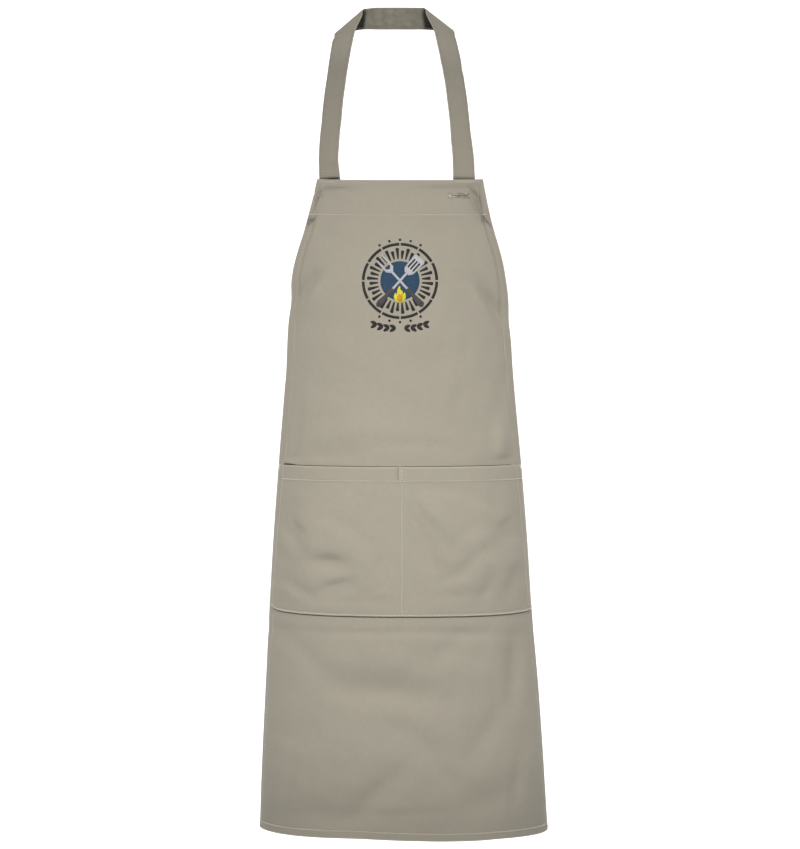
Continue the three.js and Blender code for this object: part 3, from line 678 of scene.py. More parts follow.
def twill_cloth(name, base, lines=63.0, pitch=1.0, contrast=0.045, weave=0.03, seam_painted_shade=0.20):
    """Cotton twill: diagonal weave, slubs along both yarns; paler edges, partly wear and partly painted highlight;
    painted shade along the threads, in a thin line outside the pocket's edges and where the shade attribute says.
    """
    m = Nodes(name)
    uv = m.coords("UV", (1000, 1000, 1000))               # millimetres on the flat cloth
    sep = m.new("ShaderNodeSeparateXYZ")
    m.link(uv, sep.inputs[0])
    u, v = sep.outputs[0], sep.outputs[1]
    k = 2 * math.pi / pitch
    c, s = math.cos(math.radians(lines)), math.sin(math.radians(lines))
    phase = m.math("ADD", m.math("MULTIPLY", u, k * s), m.math("MULTIPLY", v, k * c))
    twill = m.math("SINE", phase)
    yarn = m.math("MULTIPLY", m.math("SINE", m.math("MULTIPLY", u, k * 0.9)),
                  m.math("SINE", m.math("MULTIPLY", v, k * 1.1)))
    warp = m.noise(m.coords("UV", (1150, 85, 1)), 2.5, 0.6)
    weft = m.noise(m.coords("UV", (70, 1250, 1)), 2.5, 0.6)
    fleck = m.noise(m.coords("UV", (720, 720, 1)), 2.0, 0.55)
    cloud = m.noise(m.coords("UV", (16, 11, 1)), 3.0, 0.55)
    mottle = m.noise(m.coords("UV", (110, 95, 1)), 2.0, 0.5)

    part = lambda n, w: m.math("MULTIPLY", m.math("SUBTRACT", n, 0.5), w)
    f = m.math("ADD", 0.5, part(warp, 1.5))
    for n, w in ((weft, 1.5), (fleck, 0.9), (cloud, 0.55), (mottle, 0.45)):
        f = m.math("ADD", f, part(n, w))
    f = m.math("ADD", f, m.math("MULTIPLY", twill, 0.10), clamp=True)
    colour = m.mix(f, tone(base, 1 - contrast), tone(base, 1 + contrast))
    specks = m.span(m.noise(m.coords("UV", (420, 300, 1)), 1.0, 0.5), 0.70, 0.78, 0.0, 0.35)
    colour = m.mix(specks, colour, tone(base, 0.72))
    edge, seam, shade = m.attr("edge"), m.attr("seam"), m.attr("shade")
    # paler edges: partly wear, partly painted highlight; the meshes pass their painted highlights as short edge
    # distances
    rub_and_highlight = m.math("MULTIPLY", m.span(edge, 0.3, 1.9, 0.80, 0.0), m.span(cloud, 0.35, 0.65, 0.6, 1.0))
    colour = m.mix(rub_and_highlight, colour, tone(base, 1.30))
    # painted shade along the stitch lines
    colour = m.mix(m.span(seam, 0.0, 1.15, seam_painted_shade, 0.0), colour, tone(base, 0.62))
    # painted shadow in a thin line just outside the pocket's edges
    under = m.attr("under")
    line = m.math("MULTIPLY", m.span(under, -0.6, -0.1, 0.0, 1.0), m.span(under, 1.1, 2.1, 1.0, 0.0))
    colour = m.mix(line, colour, tone(base, 0.08))
    # painted shade where the mesh's shade attribute says
    colour = m.mix(shade, colour, tone(base, 0.05))
    m.link(colour, m.bsdf.inputs["Base Color"])
    h = m.math("ADD", m.math("MULTIPLY", twill, weave), m.math("MULTIPLY", yarn, weave * 0.35))
    h = m.math("ADD", h, part(warp, 0.16))
    h = m.math("ADD", h, part(weft, 0.16))
    h = m.math("ADD", h, part(fleck, 0.12))
    h = m.math("ADD", h, part(mottle, 0.35))
    m.bump(h, 0.55)
    m.surface(0.86, sheen=0.18, sheen_rough=0.55, specular=0.22)
    return m.mat


def thread(name, base):
    m = Nodes(name)
    v = m.coords("Object", (900, 900, 900))
    n = m.noise(v, 2.0, 0.6)
    colour = m.mix(n, tone(base, 0.82), tone(base, 1.16))
    m.link(colour, m.bsdf.inputs["Base Color"])
    w = m.new("ShaderNodeTexWave", wave_type="BANDS", bands_direction="DIAGONAL")
    w.inputs["Scale"].default_value = 1.0
    m.link(m.coords("Object", (2600, 2600, 2600)), w.inputs["Vector"])
    m.bump(m.math("MULTIPLY", w.outputs["Fac"], 0.08), 0.5)
    m.surface(0.7, sheen=0.15, specular=0.35)
    return m.mat


def ink(name, base, rough=0.62):
    """Print ink that lies in the weave: the twill's lines and worn specks show through."""
    m = Nodes(name)
    twill = m.math("SINE", m.math("ADD", m.math("MULTIPLY", m_axis(m, 0), 5.6),
                                  m.math("MULTIPLY", m_axis(m, 2), 2.9)))
    n = m.noise(m.coords("Object", (700, 700, 700)), 3.0, 0.6)
    colour = m.mix(n, tone(base, 0.80), tuple(min(1.0, c * 1.15 + 0.006) for c in base))
    worn = m.span(m.noise(m.coords("Object", (1100, 1100, 420)), 2.0, 0.6), 0.64, 0.76, 0.0, 0.28)
    colour = m.mix(worn, colour, CLOTH_COLOUR)
    m.link(colour, m.bsdf.inputs["Base Color"])
    m.bump(m.math("ADD", m.math("MULTIPLY", twill, 0.04), m.math("MULTIPLY", n, 0.10)), 0.5)
    m.surface(rough, sheen=0.05, specular=0.35)
    return m.mat


def m_axis(m, k):
    sep = m.new("ShaderNodeSeparateXYZ")
    m.link(m.coords("Object", (1000, 1000, 1000)), sep.inputs[0])
    return sep.outputs[k]


CLOTH_COLOUR = (0.375, 0.345, 0.283)
STRAP_COLOUR = (0.394, 0.364, 0.297)
TWILL = twill_cloth("cotton_twill", CLOTH_COLOUR)
TWILL_STRAP = twill_cloth("cotton_twill_strap", STRAP_COLOUR, lines=58.0, contrast=0.065, seam_painted_shade=0.30)
THREAD = thread("sewing_thread", (0.93, 0.89, 0.77))
THREAD_STRAP = thread("strap_thread", (0.56, 0.525, 0.44))
THREAD_SATIN = thread("buttonhole_thread", (0.66, 0.62, 0.53))
# dark pieces that paint the shade in the needle holes and between the buttonhole's satin passes
NEEDLE_SHADE = thread("needle_hole_painted_shade", (0.10, 0.090, 0.070))


# ------------------------------------------------------------------- the panel
def columns(zs, n_inner, hem_steps):
    """t of every column, one row for each height: close together at the hems."""
    full = np.array([np.interp(z, ARC_Z, ARC[:, -1]) for z in zs])
    H = hem_width(zs)
    s = []
    for k in range(len(zs)):
        hems = [v if v >= 0 else H[k] + (v + 100) for v in hem_steps]
        a, b = hems[-1], full[k] - hems[-1]
        s.append(hems + list(np.linspace(a, b, n_inner + 1))[1:-1] + [full[k] - h for h in hems[::-1]])
    return np.array(s)


# a step below zero is measured from the hem's stitch line: -100 is the line itself
HEM_STEPS = [0.0, 0.5, 1.6, 4.0, 7.5, -101.9, -100.8, -100.0, -99.2, -98.0, -95.8]


def corner_drop(t, z):
    edge = np.minimum(arc(t, z), arc(np.ones_like(t), z) - arc(t, z))
    k = np.clip(1 - edge / CORNER, 0, 1)
    return CORNER * (1 - np.sqrt(np.maximum(0, 1 - k * k)))


down_rows = [0, .5, 1.3, 2.2, 3.1, 5, 7.2, 9.5, 12, 14.6, 17.2, 19.3, 20.8, 22.6, 25, 28, 31, 34, 37,
             40, 42.4, 43.4, 44.1, 44.8, 45.5, 46.3, 47.6, 49.6]
up_rows = [17.5, 14, 11.8, 10.2, 9.1, 8.0, 6.2, 4.0, 1.8, 0.6, 0.0]
z_rows = np.concatenate([
    TOP - 0.4 - np.array(down_rows),
    np.linspace(TOP - 0.4 - down_rows[-1], BOTTOM + up_rows[0], 268)[1:-1],
    BOTTOM + np.array(up_rows)])


def real_z(t, z):
    """The rows follow the top edge, and the rounded bottom corners."""
    top = np.clip((z - (BAND_LINE - 10)) / (TOP - (BAND_LINE - 10)), 0, 1)
    low = np.clip((BOTTOM + CORNER + 1 - z) / (CORNER + 1), 0, 1)
    hang = bottom_edge(plain(t, np.full_like(t, BOTTOM))[..., 0]) - BOTTOM
    return z + (top_edge(t) - (TOP - 0.4)) * top + corner_drop(t, np.full_like(t, BOTTOM)) * low \
        + hang * ease((BOTTOM + 70 - z) / 56)


S_cols = columns(z_rows, 122, HEM_STEPS)
T_body = arc_t(S_cols, z_rows)
Z_body = real_z(T_body, np.repeat(z_rows[:, None], T_body.shape[1], 1))
E_body = edge_distance(T_body, Z_body)
front = surface(T_body, Z_body)
N_body = outward(T_body, Z_body)
UP_body = Z_body - bottom_edge(plain(T_body, Z_body)[..., 0])
H_body = hem_width(Z_body)
in_hem = np.maximum(1 - ease((E_body - H_body - 0.4) / 1.6), 1 - ease((UP_body - 9.8) / 1.6))
thick = CLOTH + (HEM - CLOTH) * in_hem
thick = thick - 0.45 * np.exp(-((E_body - H_body) / 0.9) ** 2) \
    - 0.45 * np.exp(-((UP_body - 9.1) / 0.9) ** 2)
rim = np.minimum(np.minimum(E_body, UP_body + 0.001), top_edge(T_body) - Z_body + 0.001)
thick = thick * (1 - 0.25 * np.exp(-(rim / 0.6) ** 2))
back = front - N_body * thick[..., None]

# the buttonhole: one row of cells left open, as a narrow mouth that gapes at its right end
HOLE_ROW = 11
hole_cols = np.where((front[HOLE_ROW, :, 0] > 73.2) & (front[HOLE_ROW, :, 0] < 98.6))[0]
hc0, hc1 = int(hole_cols[0]), int(hole_cols[-1])
hx = (front[HOLE_ROW, hc0:hc1 + 1, 0] - front[HOLE_ROW, hc0, 0]) \
    / (front[HOLE_ROW, hc1, 0] - front[HOLE_ROW, hc0, 0])
open_mm = 0.55 + 0.75 * np.sin(np.pi * np.clip(hx, 0, 1) ** 2.0) ** 0.8
open_mm[0] = open_mm[-1] = 0.06
for grid in (front, back):
    mid = (grid[HOLE_ROW, hc0:hc1 + 1] + grid[HOLE_ROW + 1, hc0:hc1 + 1]) / 2
    grid[HOLE_ROW, hc0:hc1 + 1] = mid + np.array([0, 0, 0.5]) * open_mm[:, None]
    grid[HOLE_ROW + 1, hc0:hc1 + 1] = mid - np.array([0, 0, 0.5]) * open_mm[:, None]
hole_mid = (front[HOLE_ROW, hc0:hc1 + 1] + front[HOLE_ROW + 1, hc0:hc1 + 1]) / 2

seam = np.min([np.abs(E_body - H_body), np.abs(top_edge(T_body) - Z_body - BAND_DEEP) + 0 * E_body,
               np.abs(UP_body - 9.1), np.abs(top_edge(T_body) - Z_body - 2.2)], axis=0)
uv_body = np.stack([arc(T_body, Z_body) - arc(np.zeros_like(T_body), Z_body), Z_body], -1) * 0.001
nape_free = np.zeros_like(E_body)
# how far a point is outside the pocket's edges: a thin shadow lies there, widest at the mouth's left end
mouth, lower = pocket_edges(T_body)
below = lower - Z_body
mouth_wide = 1.15 + 1.5 * ease((-0.72 - T_body) / 0.12)
above = (Z_body - mouth) * 1.7 / mouth_wide
above = above + 40 * ease((front[..., 0] - 155.5) / 3) + 40 * ease((-145.5 - front[..., 0]) / 2)
under = np.clip(np.maximum(below, above), -20, 20)
# painted shade in the armhole's hem, which is drawn in along its thread, and the painted shadows of the deepest folds
panel_painted_shade = np.exp(-((E_body - H_body) / 1.5) ** 2) + 0.8 * np.exp(-((E_body - 5.0) / 1.2) ** 2)
panel_painted_shade = panel_painted_shade * ease((Z_body + 425) / 40) * ease((-262 - Z_body) / 14) * np.where(T_body > 0, 0.24, 0.18)
panel_painted_shade = np.clip(panel_painted_shade + fold_depth(DEEP_FOLDS, front[..., 0], front[..., 2]), 0, 1)
# painted shade: darker toward the bottom hem
panel_painted_shade = np.clip(panel_painted_shade + 0.17 * ease((-970 - Z_body) / 120), 0, 1)
# painted highlight on the right side's hem: it is given a short edge distance, so that the material pales it as it
# pales the edges
pale = ease((T_body - 0.935) / 0.03) * ease((-895 - Z_body) / 30) * ease((Z_body + 1010) / 30)
worn = np.minimum(rim, 2.2 - 1.5 * pale)
body = wall("panel_cloth", front, back, uv_body,
            {"edge": (worn, rim), "seam": (seam, seam), "shade": (panel_painted_shade, nape_free),
             "under": (under, nape_free - 20)}, hole=(HOLE_ROW, hc0, hc1))
body.data.materials.append(TWILL)


# -------------------------------------------------- the bib's turned top hem
def facing_piece():
    rows = np.array([1.0, 1.6, 3.1, 6, 9.5, 13, 17.2, 19.3, 20.8, 23, 27, 31, 35, 39, 42.4, 43.6, 44.8, 46.0])
    zs = TOP - 0.4 - rows
    cols = []
    for z in zs:
        w = float(np.interp(z, ARC_Z, ARC[:, -1]))
        h = float(hem_width(z)) + 1.2
        cols.append(np.linspace(h, w - h, 96))
    T = arc_t(np.array(cols), zs)
    Z = real_z(T, np.repeat(zs[:, None], T.shape[1], 1))
    base = surface(T, Z)
    n = outward(T, Z)
    g = 0.22 + 0.10 * fine(base[..., 0], base[..., 2])
    # at the top the cloth turns over from the panel's own edge
    turn_over = ease((top_edge(T) - Z - 1.0) / 2.2)
    seam_in = groove(top_edge(T) - Z - BAND_DEEP, 0.12, 0.9)
    f = base - n * (CLOTH + 0.44 + (g + 0.20) * turn_over)[..., None]
    t_ = FACING - seam_in * 2
    b = f - n * t_[..., None]
    i = 7
    hc = np.where((base[i, :, 0] > 72.6) & (base[i, :, 0] < 99.2))[0]
    a0, a1 = int(hc[0]), int(hc[-1])
    for grid in (f, b):
        mid = (grid[i, a0:a1 + 1] + grid[i + 1, a0:a1 + 1]) / 2
        grid[i, a0:a1 + 1] = mid + [0, 0, 1.25]
        grid[i + 1, a0:a1 + 1] = mid + [0, 0, 1.05]
    e = np.minimum(top_edge(T) - Z, BAND_DEEP + 1.6 - (top_edge(T) - Z))
    sm = np.abs(top_edge(T) - Z - BAND_DEEP)
    uv = np.stack([arc(T, Z) - arc(np.zeros_like(T), Z), -Z], -1) * 0.001
    ob = wall("bib_hem_cloth", f, b, uv, {"edge": (e, e), "seam": (sm, sm), "shade": (e * 0, e * 0)},
              hole=(i, a0, a1))
    ob.data.materials.append(TWILL)
    return ob


facing = facing_piece()


# ------------------------------------------------------------------ the pocket


def pocket_gap(t, z):
    """How far the pocket's inner face stands off the panel."""
    t, z = np.broadcast_arrays(t, z)
    top, low = pocket_edges(t)
    half = np.where(t < POCKET_SPLIT,
                    (POCKET_SPLIT - 0.010 - t) / (POCKET_SEAM + POCKET_SPLIT - 0.010),
                    (t - POCKET_SPLIT - 0.010) / (POCKET_SEAM - POCKET_SPLIT - 0.010))
    inside = (half > 0) & (half < 1)
    across = np.sin(np.pi * np.clip(half, 0, 1)) ** 0.9
    up = np.clip((z - low) / (top - low), 0, 1)
    lift = np.sin(np.pi / 2 * np.clip(up * 1.7, 0, 1)) * (1 - 0.76 * ease((up - 0.35) / 0.6))
    x = plain(t, z)[..., 0]
    loose = ease((top - z - 6) / 26) * ease((z - low - 4) / 26) * ease((0.955 - np.abs(t)) / 0.06)
    near_split = ease(np.abs(t - POCKET_SPLIT) / 0.07)
    out = np.where(inside, 9.0 * across * lift, 0.0)
    out = out - (3.1 * fold_depth(POCKET_FOLDS, x, z) + 3.0 * fold_depth(POCKET_CREASES, x, z)
                 + 1.1 * slow(x + 300, z) + 0.62 * middle(x + 90, z) + 0.05 * fine(x, z)) * loose * near_split
    # the free mouth waves a little
    out = out + 0.5 * np.sin(x / 19 + 0.6) * ease((z - top + 26) / 26) * np.clip(across, 0, 1) * near_split
    least = 0.12 + 0.10 * ease((0.95 - np.abs(t)) / 0.05)
    soft = 1.4 * loose
    return least + (out - least + np.sqrt((out - least) ** 2 + soft * soft)) / 2


def pocket_surface(t, z, back=False):
    top, low = pocket_edges(t)
    down, up = top - z, z - low
    g = pocket_gap(t, z)
    if back:
        return surface(t, z, g)
    e = edge_distance(t, z)
    H = hem_width(z)
    hem = 1 - ease((down - 18.6) / 1.6)
    side = ease((0.99 - np.abs(t)) / 0.05)
    fold_edge = 0.7 * (1 - ease((up - 2.2) / 1.4))
    d = g + (CLOTH + 0.60 * hem + fold_edge) * (0.45 + 0.55 * side)
    d = d - groove(down - 18.4, 0.32, 0.9) - groove(up - 3.0, 0.42, 0.8) - groove(e - H, 0.22, 0.9)
    x = plain(t, z)[..., 0]
    # the short pleat beside the middle seam, in the hem, and the seam's own furrow
    d = d + 1.3 * np.exp(-((x - 7.6) / 1.25) ** 2) * ease((21.5 - down) / 4)
    d = d - groove(x - 10.4, 0.24, 0.9) * ease((down - 2) / 2)
    a = x / 2.4 + 1.3 * np.sin(x / 14)
    d = d + 0.10 * np.sin(a) * np.exp(-((down - 21) / 5) ** 2) + 0.12 * np.sin(a + 2) * np.exp(-((up - 6) / 5) ** 2)
    d = d + 0.08 * np.sin(z / 2.2) * np.exp(-((x - 13) / 4) ** 2)
    rim = np.minimum(np.minimum(down, up), (0.990 - np.abs(t)) * 100)
    d = d - 0.25 * np.exp(-(np.maximum(rim, 0) / 0.5) ** 2)
    return surface(t, z, d)


def pocket_piece():
    side = [0.990, 0.986, 0.977, 0.963]
    ts = [-v for v in side]
    left = np.linspace(-0.950, POCKET_SPLIT - 0.060, 66)
    right = np.linspace(POCKET_SPLIT + 0.060, 0.950, 66)
    mids = POCKET_SPLIT + np.array([-0.045, -0.030, -0.022, -0.016, -0.012, -0.008, -0.004, 0.0, 0.0035,
                                    0.007, 0.0105, 0.014, 0.018, 0.024, 0.034, 0.046])
    ts = np.array(sorted(ts + list(left) + list(mids) + list(right) + side))
    dn = [0, .5, 1.4, 3.2, 6, 9, 12, 14.8, 16.6, 17.6, 18.4, 19.2, 20.4, 22.5]
    up = [9, 6.5, 4.8, 3.8, 3.0, 2.2, 1.3, 0.6, 0.0]
    T, row = np.meshgrid(ts, np.arange(len(dn) + 60 + len(up)), indexing="xy")
    top, low = pocket_edges(ts)
    Z = np.empty_like(T, dtype=float)
    for k, d in enumerate(dn):
        Z[k] = top - d
    for k in range(60):
        f = (k + 1) / 61
        Z[len(dn) + k] = (top - dn[-1]) * (1 - f) + (low + up[0]) * f
    for k, u in enumerate(up):
        Z[len(dn) + 60 + k] = low + u
    fr, bk = pocket_surface(T, Z), pocket_surface(T, Z, back=True)
    # next to the stitched sides and bottom the cloth lies flat on the panel
    down, upd = pocket_edges(T)[0] - Z, Z - pocket_edges(T)[1]
    e, H = edge_distance(T, Z), hem_width(Z)
    x = plain(T, Z)[..., 0]
    rim = np.minimum(np.minimum(down, upd), (0.985 - np.abs(T)) * 120)
    sm = np.min([np.abs(down - 18.4), np.abs(upd - 3.0), np.abs(e - H)], axis=0)
    # painted highlight on the right side's hem and on the ridge of the pleat beside the middle seam, given as short
    # edge distances; painted shade just left of that ridge
    pale = ease((T - 0.925) / 0.03) * ease((down - 18) / 6)
    rim = np.minimum(rim, 2.2 - 1.7 * pale)
    near = ease((21.5 - down) / 3)
    rim = np.minimum(rim, 2.2 - 2.0 * np.exp(-((x - 8.0) / 1.1) ** 2) * near)
    dark = 0.42 * np.exp(-((x - 5.4) / 0.9) ** 2) * near
    uv = np.stack([arc(T, Z) - arc(np.zeros_like(T), Z) + 400, Z], -1) * 0.001
    ob = wall("pocket_cloth", fr, bk, uv, {"edge": (rim, rim), "seam": (sm, sm), "shade": (dark, dark * 0)})
    ob.data.materials.append(TWILL)
    return ob


pocket = pocket_piece()


# -------------------------------------------------------------- the neck strap
def behind_bib(x, z):
    t = t_for(x, z)
    return surface(t, np.asarray(z, float), -(HEM + GAP + 2.9 + STRAP_T / 2), visible=False)


def shoulder(side, angle):
    o, i = (np.array(p, float) for p in SHOULDER[side])
    along = unit(i - o)
    up = unit(np.cross(along, [0, 1, 0]))
    up = up if up[2] > 0 else -up
    rear = unit(np.cross(up, along))
    rear = rear if rear[1] > 0 else -rear
    move = up * FOLD_R * (math.cos(angle) - 1) + rear * FOLD_R * math.sin(angle) + along * FOLD_R * FOLD_DRIFT * angle
    lifted = np.array([0, 0, 2.4]) * max(0.0, angle) / 1.48
    return o + move, i + move + lifted


def strap_edges():
    A, B = [], []

    def add(a, b):
        A.append(np.asarray(a, float))
        B.append(np.asarray(b, float))
    for z in (FOOT["end"], FOOT["top"]):
        add(behind_bib(FOOT["lo"], z), behind_bib(FOOT["li"], z))
    for lo, li, ri, ro, yo, yi, zo, zi in STRAP:
        add((lo, yo, zo), (li, yi, zi))
    for deg in (-85, -42, 0, 42, 85):
        add(*shoulder(-1, math.radians(deg)))
    for xu, yu, zu, xl, yl, zl in NAPE:
        add((-xl, yl, zl), (-xu, yu, zu))
    for xu, yu, zu, xl, yl, zl in NAPE[::-1][1:]:
        add((xl, yl, zl), (xu, yu, zu))
    for deg in (85, 42, 0, -42, -85):
        add(*shoulder(1, math.radians(deg)))
    for lo, li, ri, ro, yo, yi, zo, zi in STRAP[::-1]:
        add((ro, yo, zo), (ri, yi, zi))
    for z in (FOOT["top"], FOOT["end"]):
        add(behind_bib(FOOT["ro"], z), behind_bib(FOOT["ri"], z))
    return np.array(A), np.array(B)


strap_rb = Ribbon(*strap_edges(), step=1.9)
_mid = (strap_rb.a + strap_rb.b) / 2


def strap_detail(S, W, width):
    """Soft cross creases and a slight cup, in millimetres along the normal."""
    x = np.interp(S, strap_rb.s, _mid[:, 0])
    z = np.interp(S, strap_rb.s, _mid[:, 2])
    out = np.zeros_like(S)
    for cx, cz, slope, deep, wide in ((88, -71, 9, 0.55, 5), (91, -82, -7, 0.45, 5), (-88, -150, 6, 0.35, 7),
                                      (90, -170, -10, 0.35, 8), (-76, -95, -12, 0.3, 8), (92, -214, 8, 0.35, 6),
                                      (-86, -214, -6, 0.4, 6), (-88, -190, 10, 0.25, 9)):
        near = np.exp(-((z - cz - (W - 0.5) * slope) / wide) ** 2) * (np.sign(x) == np.sign(cx))
        out -= 2.0 * deep * near
    return out + 0.25 * np.sin(S / 31 + 0.6) * (W - 0.5)


def strap_painted_shade(S, W):
    """Painted shade: the inner face behind the neck is darker, near black at the turns; painted shade on the lower
    straps and a painted shadow just above the bib's edge.
    """
    side = lambda k: (np.interp(S, strap_rb.s, strap_rb.a[:, k]) * (1 - W)
                      + np.interp(S, strap_rb.s, strap_rb.b[:, k]) * W)
    x, y, z = side(0), side(1), side(2)
    behind = ease((np.interp(S, strap_rb.s, _mid[:, 1]) + 24) / 8)
    ends = ease((np.abs(x) - (38.5 - 3 * W)) / (7 - W)) * ease((np.interp(S, strap_rb.s, _mid[:, 1]) + 32) / 5)
    streaks = middle(x * 2.2 + z * 1.2, z * 2.6 - x * 0.8) + 0.7 * fine(x * 1.4, z * 1.6)
    inner = (0.23 + 0.09 * streaks) * behind + 1.0 * ends
    # painted shadow on the strap just above the bib's edge, and painted shade on the lower straps
    foot = np.exp(-((z + 227.8) / 1.8) ** 2) * np.where(x < 0, 0.60 + 0.35 * ease((x + 90) / 8), 0.48)
    low = (0.21 - 0.05 * ease(x / 20)) * ease((-34 - z) / 50)
    return np.clip(0.06 * behind + low + foot, 0, 1), np.clip(inner, 0, 1)


strap = ribbon_mesh("neck_strap_cloth", strap_rb, STRAP_T, seams=(2.3,), detail=strap_detail,
                    dark=strap_painted_shade)
strap.data.materials.append(TWILL_STRAP)


# --------------------------------------------------------------- ties and tails
def tie_edges(side):
    A, B = [], []

    def add(p, q):
        (A if side > 0 else B).append(np.asarray(p, float))
        (B if side > 0 else A).append(np.asarray(q, float))
    # the panel's folds are deepest behind the right corner, so the tie stands further off there
    depth = -(HEM + GAP + (3.1 if side > 0 else 1.2) + TIE_T / 2)
    for t in (0.90, 0.985):
        add(surface(np.array(side * t), np.array(TIE_Z + TIE_W / 2), depth, visible=False),
            surface(np.array(side * t), np.array(TIE_Z - TIE_W / 2), depth, visible=False))
    for x, y in TIE:
        add((KNOT["x"] + side * x, y, TIE_Z + TIE_W / 2), (KNOT["x"] + side * x, y, TIE_Z - TIE_W / 2))
    x = KNOT["x"] + side * (KNOT["wide"] / 2 + GAP)
    add((x, KNOT["y"] - 1, TIE_Z + TIE_W / 2 - 3), (x, KNOT["y"] - 1, TIE_Z - TIE_W / 2 + 3))
    return np.array(A), np.array(B)


def gather_tie(side):
    """The cloth pleats as it runs into the knot."""
    def f(S, W, width):
        near = ease(((TIE_LEN[side] - S) - 46) / -46)
        return near * (1.6 * np.sin(W * 2 * math.pi * 1.5 + 0.5) + 0.5 * np.sin(W * 2 * math.pi * 4)) \
            + 0.5 * np.sin(S / 27 + side) * (W - 0.5)
    return f


TIE_LEN = {}
tie_rb, ties = {}, {}
for side, name in ((-1, "waist_tie_left_cloth"), (1, "waist_tie_right_cloth")):
    a, b = tie_edges(side)
    rb = Ribbon(a, b, 2.2)
    # the last stretch narrows into the knot
    left = np.clip((rb.length - rb.s) / 34, 0, 1)
    pinch = (0.40 + 0.60 * ease(left))[:, None]
    mid = (rb.a + rb.b) / 2
    rb.a, rb.b = mid + (rb.a - mid) * pinch, mid + (rb.b - mid) * pinch
    TIE_LEN[side] = rb.length
    tie_rb[side] = rb
    ties[side] = ribbon_mesh(name, rb, TIE_T, seams=(2.1,), detail=gather_tie(side))
    ties[side].data.materials.append(TWILL_STRAP)

tail_rb, tails = {}, {}
for side, name in ((-1, "tie_tail_left_cloth"), (1, "tie_tail_right_cloth")):
    A, B = [], []
    for k, (x, y, down) in enumerate(TAIL):
        half = TIE_W / 2 - 1 if k == 0 else TIE_W / 2
        half = 8.0 if k == 0 else half
        A.append((KNOT["x"] + side * x - half, KNOT["y"] + y, TIE_Z - down))
        B.append((KNOT["x"] + side * x + half, KNOT["y"] + y, TIE_Z - down))
    rb = Ribbon(np.array(A, float), np.array(B, float), 2.2)
    tail_rb[side] = rb
    tails[side] = ribbon_mesh(
        name, rb, TIE_T, seams=(2.1,),
        detail=lambda S, W, w, k=side: ease((40 - S) / 40) * 1.0 * np.sin(W * 2 * math.pi * 1.5 + k)
        + 0.9 * np.sin(S / 33 + k) * (W - 0.5) + 0.35 * np.sin(S / 21 + 2 * k))
    tails[side].data.materials.append(TWILL_STRAP)


# -------------------------------------------------------------------- the knot
def tube_band(name, path, wide, deep, twist=0.0, folds=3, steps=72, around=26, closed=True):
    """A soft folded band of cloth along a closed path of points: a flattened, pleated section."""
    path = np.asarray(path, float)
    n = len(path)
    u = np.linspace(0, 1, steps, endpoint=False)
    ext = np.concatenate([path[-2:], path, path[:3]])
    P = catmull(ext, (2 + u * n) / (len(ext) - 1))
    Q = catmull(ext, (2 + u * n + 0.01) / (len(ext) - 1))
    along = unit(Q - P)
    centre = path.mean(0)
    out = P - centre
    out = unit(out - along * (out * along).sum(1, keepdims=True))
    side = np.cross(along, out)
    g = np.linspace(0, 2 * math.pi, around, endpoint=False)
    pleat = 1 + 0.10 * np.sin(folds * g)[None] * (0.7 + 0.3 * np.sin(6.28 * u * 2 + 1))[:, None]
    w = wide / 2 * np.sign(np.cos(g)) * np.abs(np.cos(g)) ** 0.75
    d = deep / 2 * np.sign(np.sin(g)) * np.abs(np.sin(g)) ** 0.9
    co = P[:, None] + side[:, None] * (w[None] * pleat)[..., None] + out[:, None] * (d[None] * pleat)[..., None]
    ridge = 0.35 * np.sin(folds * 2.6 * np.cos(g) + 0.8)[None, :, None] * np.maximum(np.sin(g), 0)[None, :, None]
    co = co + out[:, None] * ridge
    idx = np.arange(steps * around).reshape(steps, around)
    a, b = idx, np.roll(idx, -1, 0)
    faces = np.stack([a, np.roll(a, -1, 1), np.roll(b, -1, 1), b], -1).reshape(-1, 4)
    co = co.reshape(-1, 3)
    if not outward_faces(co, faces):
        faces = faces[:, ::-1]
    L = np.concatenate([[0], np.cumsum(np.linalg.norm(np.diff(P, axis=0), axis=1))])
    uv = np.stack([np.tile(w, (steps, 1)), np.repeat(L[:, None], around, 1)], -1).reshape(-1, 2) * 0.001
    far = np.full(len(co), 9.0)
    ob = mesh(name, co, faces, uv, {"edge": far, "seam": far, "shade": far * 0, "under": far - 30})
    ob.data.materials.append(TWILL_STRAP)
    return ob


kx, ky, kz = KNOT["x"], KNOT["y"], TIE_Z


def ring(rx, ry, rz, tilt, n=10, dx=0.0, dz=0.0, lean=0.0):
    """A closed loop round the knot's core: it runs over the back, under and up the front."""
    out = []
    for k in range(n):
        g = 2 * math.pi * k / n
        y, z = ry * math.cos(g), rz * math.sin(g)
        x = lean * math.sin(g) * rx
        c, s = math.cos(tilt), math.sin(tilt)
        out.append((kx + dx + x * c - z * s, ky + y, kz + dz + x * s + z * c))
    return out


